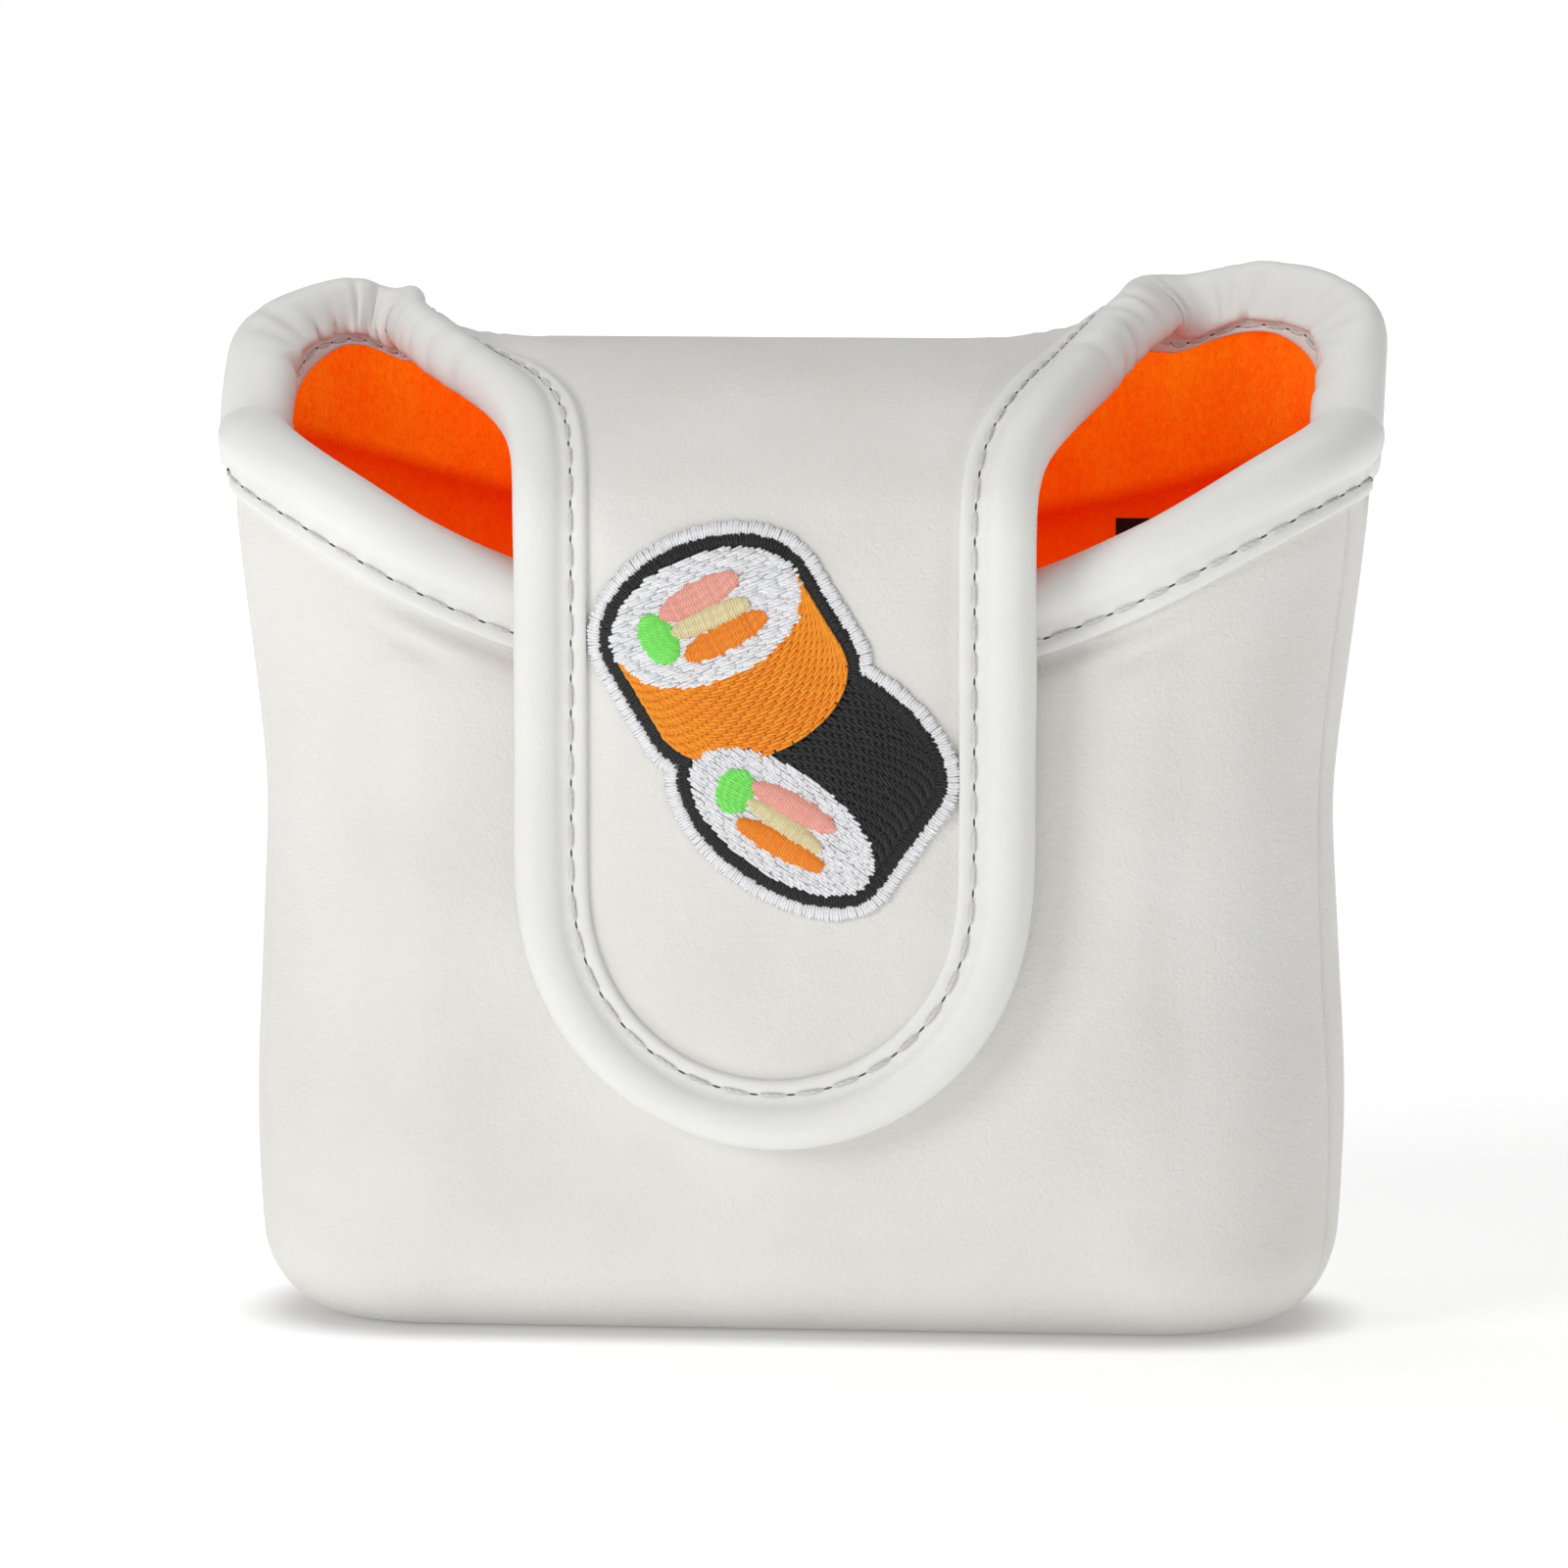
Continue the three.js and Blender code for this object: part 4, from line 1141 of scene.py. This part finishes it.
def build_flap_band():
    """The binding that runs over both ears and round the tongue, cut where its bodies change."""
    edge = Edge(flap_loop(), hood, hood_frame)
    at, length = edge.at, edge.length
    down = edge.places[:, 1] - fold_line(edge.places[:, 0])
    on_flap = smoothstep(-14, 6, down)
    stack = WALL_STACK + (FLAP_STACK - WALL_STACK) * on_flap
    width = WALL_BAND + (FLAP_BAND - WALL_BAND) * on_flap
    half, last = len(at) // 2, len(at) - 1
    neck = int(np.argmin(np.abs(down[:half])))
    cut = int(np.argmin(np.abs(hood(*edge.places[:half].T)[:, 1] - SPLIT_Y)))
    spots = crumple(8, 40, 3.2, 11) + crumple(length - 40, length - 8, 3.2, 12)
    spots += crumple(at[neck] - 6, at[neck] + 20, 3.8, 13, (2.4, 3.8), (0.8, 1.6))
    spots += crumple(length - at[neck] - 20, length - at[neck], 4.2, 14, (2.4, 3.8), (0.4, 0.8))
    grid = band_grid(edge, stack, width, spots)
    for name, first, end, moves in (
            ("ear_right", 0, neck, "pouch"), ("bridge_right", neck, cut, "back_fold"),
            ("tongue", cut, last - cut, "front_fold"),
            ("bridge_left", last - cut, last - neck, "back_fold"),
            ("ear_left", last - neck, last, "pouch")):
        sew_band(name, edge, grid, first, end, stack, moves, True)


build_mouth_band()
build_flap_band()


# ---------------- embroidered patch

# Two plain cut rolls: each is a slanted oval face and a side that is the oval swept back.
# A black rim reaches MARGIN outside them and a white one RING. "Base" and "lift" are heights
# above the leather.
PATCH_MIDDLE_X = (corner("patch_border", 0)[0] + corner("patch_border", 1)[0]) / 2
PATCH_TOP = corner("patch_border", 1)[2]
MARGIN = 1.5
RING = 2.9
THREAD_GAP = 0.34
CLOTH_STEP = 0.3
SIDE_STITCH = 2.25
STRAND_SHARE = np.array([0.0, 0.1, 0.35, 0.65, 0.9, 1.0])
STRAND_RISE = np.array([-0.25, 0.02, 0.12, 0.12, 0.02, -0.25])
STRAND_THICK = np.array([0.7, 1.0, 1.0, 1.0, 1.0, 0.7])


def axes(tilt):
    return np.array([[math.cos(tilt), math.sin(tilt)], [-math.sin(tilt), math.cos(tilt)]])


def roll(x, below_top, long, short, tilt, sweep, side):
    """An oval face by its centre and half sizes, and where its side is swept to."""
    return {"centre": np.array([PATCH_MIDDLE_X + x, PATCH_TOP - below_top]), "axes": axes(tilt),
            "size": np.array([long, short]), "sweep": np.array(sweep), "side": side}


ROLLS = {
    "upper": roll(-7.4, 10.9, 11.4, 7.2, 0.4, (5.2, -8.4), "orange"),
    "lower": roll(1.2, 34.0, 12.0, 6.0, -0.6, (6.8, 9.4), "black"),
}
FILLINGS = {
    "salmon": ((0.02, 0.36), (0.44, 0.24), 0.1),
    "egg": ((0.05, -0.02), (0.42, 0.18), 0.0),
    "leaf": ((-0.52, -0.02), (0.18, 0.42), 0.15),
    "carrot": ((0.12, -0.38), (0.46, 0.22), 0.1),
}


def circle(angle):
    return np.stack([np.cos(angle), np.sin(angle)], -1)


def on_face(shape, local):
    return np.asarray(local) @ shape["axes"] + shape["centre"]


def oval(shape, angle):
    return on_face(shape, circle(angle) * shape["size"])


def oval_normal(shape, angle):
    return unit(circle(angle) / shape["size"] @ shape["axes"])


def roll_outline(shape, grow, step):
    """Points and outward directions round a whole roll, grown outward, at even steps."""
    angle = np.linspace(0, 2 * math.pi, 721)[:-1]
    normal = oval_normal(shape, angle)
    swept = (normal @ shape["sweep"] > 0)[:, None]
    points = oval(shape, angle) + swept * shape["sweep"] + grow * normal
    points = np.concatenate([points, points[:1]])
    length = run_length(points)
    at = np.linspace(0, length[-1], int(length[-1] / step) + 1)[:-1]
    even = read_rows(at, length, points)
    tangent = np.roll(even, -1, 0) - np.roll(even, 1, 0)
    return even, unit(np.stack([tangent[:, 1], -tangent[:, 0]], -1))


def outside(shape, points):
    """How far points are outside a roll's own outline, less than zero inside it."""
    angle = np.linspace(0, 2 * math.pi, 97)[:-1]
    normal = oval_normal(shape, angle)
    reach = (oval(shape, angle) * normal).sum(-1) + np.maximum(0, normal @ shape["sweep"])
    return (points @ normal.T - reach).max(-1)


def tongue_height(x, z):
    """Y of the leather's outer face on the tongue, at x and z. Above the arch's foot, where only
    the patch's upper rim may reach, the way down the leather is a rough one."""
    sheet = SHEETS["spine"]
    rows, cols = sheet.coarse_rows, sheet.coarse_cols
    over = z - ARCH_FOOT_Z
    down = np.where(over > -1, ARCH_LENGTH * (1 - 0.02 * np.maximum(0, over)), ARCH_LENGTH - over)
    flat = flap(x, down)[..., 1]
    if sheet.moves is None:
        return flat
    row = np.interp(1 + down / FLAP_END, rows, np.arange(len(rows)))
    col = (x / sheet_half_width(down) + 1) / 2 * (len(cols) - 1)
    i = np.clip(np.floor(row).astype(int), 0, len(rows) - 2)
    j = np.clip(np.floor(col).astype(int), 0, len(cols) - 2)
    s, t = smoothstep(0, 1, row - i), smoothstep(0, 1, col - j)
    m = sheet.moves[..., 1]
    low = m[i, j] * (1 - t) + m[i, j + 1] * t
    high = m[i + 1, j] * (1 - t) + m[i + 1, j + 1] * t
    return flat + low * (1 - s) + high * s


def on_patch(places, lift):
    """Lays points of the patch's plane on the tongue, lifted off its leather."""
    y = tongue_height(places[..., 0], places[..., 1]) - lift
    return np.stack([places[..., 0], y, places[..., 1]], -1)


def strands(name, starts, ends, base, radius, look, seed, replaced=(), hidden=None):
    """Threads laid from starts to ends over the patch: each dips into the cloth at both ends.
    Threads whose middle is hidden under the other roll are left out."""
    own = np.random.default_rng(seed)
    starts, ends = np.asarray(starts), np.asarray(ends)
    if hidden is not None:
        shown = ~hidden((starts + ends) / 2)
        starts, ends = starts[shown], ends[shown]
    places = starts[:, None] + (ends - starts)[:, None] * STRAND_SHARE[:, None]
    jitter = own.normal(0, 0.03, (len(starts), 1))
    centre = on_patch(places, base + STRAND_RISE + jitter)
    up = np.broadcast_to([0.0, -1.0, 0.0], centre.shape)
    thick = radius * (1 + own.normal(0, 0.06, (len(starts), 1))) * STRAND_THICK
    piece = tubes(name, centre, up, thick, STRANDS[look], 6, seed)
    settle(piece, "tongue", "embroidery_" + look, *replaced)


def ring_strands(name, inner, outer, base, look, seed, spiky):
    """Satin stitches straight across the rim of both rolls, with uneven ends."""
    own = np.random.default_rng(seed)
    starts, ends = [], []
    for this, other in (("upper", "lower"), ("lower", "upper")):
        points, normals = roll_outline(ROLLS[this], (inner + outer) / 2, THREAD_GAP)
        free = outside(ROLLS[other], points) > (inner + outer) / 2 - 0.15
        points, normals = points[free], normals[free]
        half = (outer - inner) / 2
        away = half + own.uniform(-spiky, spiky, (len(points), 1)) * 0.6
        back = half + own.uniform(0, spiky, (len(points), 1))
        lean = np.stack([-normals[:, 1], normals[:, 0]], -1) * own.normal(0, 0.05, (len(points), 1))
        starts.append(points - normals * back)
        ends.append(points + normals * away + lean)
    strands(name, np.concatenate(starts), np.concatenate(ends), base, 0.2, look, seed)


def face_strands(name, shape, base, look, seed, replaced):
    """Rice: short stitches in rows along the oval, each row shifted, with pointed ends at its rim."""
    own = np.random.default_rng(seed)
    starts, ends = [], []
    long, short = shape["size"]
    for line in np.arange(-short + 0.2, short, THREAD_GAP):
        reach = long * math.sqrt(1 - (line / short) ** 2) + own.uniform(-0.1, 0.45)
        place = -reach
        stitch = own.uniform(1.2, 2.6)
        while place < reach:
            end = min(reach, place + stitch)
            starts.append((place, line + own.normal(0, 0.04)))
            ends.append((end, line + own.normal(0, 0.04)))
            place, stitch = end, 2.4 + own.normal(0, 0.25)
    strands(name, on_face(shape, starts), on_face(shape, ends), base, 0.2, look, seed, replaced)


def side_strands(name, shape, base, look, seed, replaced, hidden):
    """A roll's side: rows of short stitches that follow the oval, bricked like woven matting."""
    own = np.random.default_rng(seed)
    angle = np.linspace(0, 2 * math.pi, 1441)
    swept = oval_normal(shape, angle) @ shape["sweep"] > 0
    first = int(np.nonzero(swept & ~np.roll(swept, 1))[0][0])
    visible = np.roll(np.arange(1440), -first)[:int(swept[:-1].sum())]
    line = oval(shape, angle[visible])
    length = run_length(line)
    starts, ends = [], []
    rows = int(np.linalg.norm(shape["sweep"]) / (THREAD_GAP * 1.08))
    for row in range(rows + 1):
        shift = shape["sweep"] * row / rows
        at = -own.uniform(0.1, 0.3) - (row % 3) * SIDE_STITCH / 3
        while at < length[-1]:
            start, end = read_rows([max(0, at), min(length[-1], at + SIDE_STITCH)], length, line)
            starts.append(start + shift)
            ends.append(end + shift)
            at += SIDE_STITCH
    strands(name, starts, ends, base, 0.215, look, seed, replaced, hidden)


def filling_strands(name, shape, filling, base, look, seed, replaced):
    """A filling: satin stitches side by side over a small oval."""
    own = np.random.default_rng(seed)
    at, size, turn = filling
    centre = np.array(at) * shape["size"]
    half = np.array(size) * shape["size"]
    along = 0 if half[0] < half[1] else 1
    reach = half[1 - along]
    lines = np.arange(-reach + 0.12, reach, THREAD_GAP * 0.9)
    cut = half[along] * np.sqrt(1 - (lines / reach) ** 2) + own.uniform(0, 0.25, len(lines))
    pair = []
    for sign in (-1, 1):
        local = np.zeros((len(lines), 2))
        local[:, 1 - along] = lines
        local[:, along] = sign * cut
        pair.append(on_face(shape, local @ axes(turn) + centre))
    strands(name, *pair, base, 0.21, look, seed, replaced)


def whole_patch(points):
    return np.minimum(outside(ROLLS["upper"], points), outside(ROLLS["lower"], points))


def off_face(shape, points):
    """Roughly how far points are outside a roll's oval face, less than zero on it."""
    local = (points - shape["centre"]) @ shape["axes"].T / shape["size"]
    return (np.linalg.norm(local, axis=-1) - 1) * shape["size"].min()


def patch_cloth(name, away, grow, lift, material, slot, replaced=()):
    """Woven cloth under the stitches: all that is less than grow outside a shape, as a draped sheet."""
    spread = [oval(s, np.linspace(0, 6.3, 60)) + far for s in ROLLS.values() for far in (0, s["sweep"])]
    low, high = np.min(spread, (0, 1)) - RING - 1, np.max(spread, (0, 1)) + RING + 1
    x, z = (np.arange(low[k], high[k], CLOTH_STEP) for k in (0, 1))
    places = np.stack(np.meshgrid(x, z, indexing="ij"), -1)
    gap = away(places.reshape(-1, 2)).reshape(places.shape[:2])
    points = on_patch(places, lift - 0.25 * smoothstep(grow - 0.35, grow, gap))
    faces = grid_faces(len(x), len(z))
    inside = (gap.ravel() < grow)[faces].all(1)
    used, renamed = np.unique(faces[inside], return_inverse=True)
    obj = make_object(name, points.reshape(-1, 3)[used], renamed.reshape(-1, 4), material)
    settle(obj, "tongue", slot, *replaced)


def build_patch():
    upper, lower = ROLLS["upper"], ROLLS["lower"]
    patch_cloth("patch_white_cloth", whole_patch, RING - 0.15, 0.25, WHITE_TWILL,
                "embroidery_white", ("patch_border",))
    patch_cloth("patch_black_cloth", whole_patch, MARGIN, 0.42, BLACK_TWILL,
                "twill_black", ("patch_backing",))
    patch_cloth("upper_side_cloth",
                lambda p: np.maximum(outside(upper, p), 0.3 - off_face(lower, p)),
                -0.1, 0.66, ORANGE_TWILL, "embroidery_orange")
    for part, lift in (("upper", 0.8), ("lower", 0.68)):
        patch_cloth(part + "_rice_cloth", lambda p: off_face(ROLLS[part], p), -0.1, lift,
                    WHITE_TWILL, "embroidery_white")
    ring_strands("patch_white_ring", MARGIN - 0.1, RING, 0.42, "white", 21, 0.22)
    ring_strands("patch_black_ring", -0.2, MARGIN + 0.1, 0.56, "black", 22, 0.3)
    hides = {"upper": lambda p: off_face(lower, p) < 0, "lower": lambda p: outside(upper, p) < 0.1}
    for number, (part, shape) in enumerate(ROLLS.items()):
        base = 0.62 + 0.12 * (1 - number)
        seed = 30 + 10 * number
        side_strands(part + "_side_stitches", shape, base, shape["side"], seed,
                     (part + "_roll_side",), hides[part])
        face_strands(part + "_rice_stitches", shape, base + 0.14, "white", seed + 1,
                     (part + "_rice",))
        for step, (look, filling) in enumerate(FILLINGS.items()):
            filling_strands(part + "_" + look + "_stitches", shape, filling, base + 0.42, look,
                            seed + 2 + step, (part + "_" + look,))


build_patch()


# ---------------- woven tag inside the pouch

def build_label():
    """A small blank tag, folded double, sewn to the lining by its upper end."""
    low, high = corner("inner_label", 0), corner("inner_label", 1)
    middle, half = (low + high) / 2, (high - low) / 2
    angle = np.linspace(0, 2 * math.pi, 49)
    share = np.concatenate([[-1], np.linspace(-1, 1, 21), [1]])[:, None]
    shut = np.concatenate([[0.02], np.ones(21), [0.02]])[:, None]
    x = middle[0] + half[0] * share + 0 * angle
    z = middle[2] + half[2] * (1 - 0.03 * (1 - shut)) * signed_power(np.sin(angle), 0.3) + 0 * share
    y = middle[1] + half[1] * shut * signed_power(np.cos(angle), 0.5)
    y = y - 0.7 * np.cos(share * math.pi / 2) * ((middle[2] + half[2] - z) / (2 * half[2]))
    tag = sheet_object("inner_label_tag", np.stack([x, y, z], -1), False, LABEL_WEAVE)
    settle(tag, "pouch", "label", "inner_label")


build_label()


# ---------------- carried-over CAD nodes

for node, look in (("pouch_magnet", STEEL), ("tongue_magnet", STEEL), ("base_board", BOARD)):
    frame["nodes"][node].data.materials.clear()
    frame["nodes"][node].data.materials.append(look)


# ---------------- floor, light and camera

def aim(obj, target):
    obj.rotation_mode = "QUATERNION"
    obj.rotation_quaternion = (Vector(target) - obj.location).to_track_quat("-Z", "Y")


def area_light(name, place, height, size, power):
    """A round lamp, in metres and watts, that points at a height of the object's middle."""
    data = bpy.data.lights.new(name, "AREA")
    data.shape = "DISK"
    data.size, data.energy = size, power
    light = linked(name, data)
    light.location = place
    aim(light, (0, 0, height * MM))


FLOOR_REACH = 3.0
CONTACT_REACH = 8.0
WORLD_LIGHT = 0.37


def build_floor():
    """A pale floor that glows brighter away from the object, with a painted contact shadow where the
    object stands.
    """
    n = Nodes("pale_floor")
    # Painted contact shadow: occlusion near the object greys the floor's colour and dims its glow.
    occlusion = n.add("ShaderNodeAmbientOcclusion")
    occlusion.inputs["Distance"].default_value = CONTACT_REACH * MM
    open_share = n.ramp(occlusion.outputs["AO"], 0.3, 0.95, 0.5, 1)
    n.set(Base_Color=n.mix(open_share, (0.3, 0.3, 0.3, 1), (0.93, 0.93, 0.93, 1)))
    n.set(Roughness=0.9, Specular_IOR_Level=0.1)
    away = n.add("ShaderNodeVectorMath", operation="LENGTH")
    n.join(n.object_mm(), away.inputs[0])
    glow = n.math("MULTIPLY", n.ramp(away.outputs["Value"], 150, 900, 0.4, 0.8), open_share)
    n.set(Emission_Color=(1, 1, 1, 1), Emission_Strength=glow)
    mesh = bpy.data.meshes.new("floor")
    corners = [(x * FLOOR_REACH, y * FLOOR_REACH, 0) for x, y in ((-1, -1), (1, -1), (1, 1), (-1, 1))]
    mesh.from_pydata(corners, [], [(0, 1, 2, 3)])
    mesh.materials.append(n.material)
    floor = linked("floor", mesh)
    floor.location.z = -0.2 * MM


def build_world():
    """White to the camera, and a softer white light on the object."""
    world = bpy.data.worlds.new("studio")
    world.use_nodes = True
    scene.world = world
    tree = world.node_tree
    light = tree.nodes["Background"]
    light.inputs["Color"].default_value = (1, 1, 1, 1)
    light.inputs["Strength"].default_value = WORLD_LIGHT
    seen = tree.nodes.new("ShaderNodeBackground")
    seen.inputs["Color"].default_value = (1, 1, 1, 1)
    ray = tree.nodes.new("ShaderNodeLightPath")
    mix = tree.nodes.new("ShaderNodeMixShader")
    for number, output in enumerate((ray.outputs["Is Camera Ray"], light.outputs[0], seen.outputs[0])):
        tree.links.new(output, mix.inputs[number])
    tree.links.new(mix.outputs[0], tree.nodes["World Output"].inputs["Surface"])


CAMERA_DISTANCE = 1.15
CAMERA_YAW = math.radians(6)
CAMERA_TILT = math.radians(6)
PICTURE_WIDTH = 0.1797


def build_camera():
    data = bpy.data.cameras.new("camera")
    data.sensor_width = 36
    data.lens = data.sensor_width * CAMERA_DISTANCE / PICTURE_WIDTH
    data.clip_end = 20
    camera = linked("camera", data)
    target = Vector((0.5 * MM, -HALF_DEPTH * MM, 64.5 * MM))
    back = Vector((math.sin(CAMERA_YAW) * math.cos(CAMERA_TILT),
                   -math.cos(CAMERA_YAW) * math.cos(CAMERA_TILT), math.sin(CAMERA_TILT)))
    camera.location = target + back * CAMERA_DISTANCE
    aim(camera, target)
    scene.camera = camera


build_floor()
build_world()
area_light("key", (-0.85, -0.95, 0.5), 60, 0.6, 5.2)
area_light("top", (0.0, 0.2, 0.95), 50, 0.8, 2.0)
area_light("fill", (0.9, -0.8, 0.3), 60, 0.8, 0.25)
build_camera()
scene.view_settings.view_transform = "Standard"
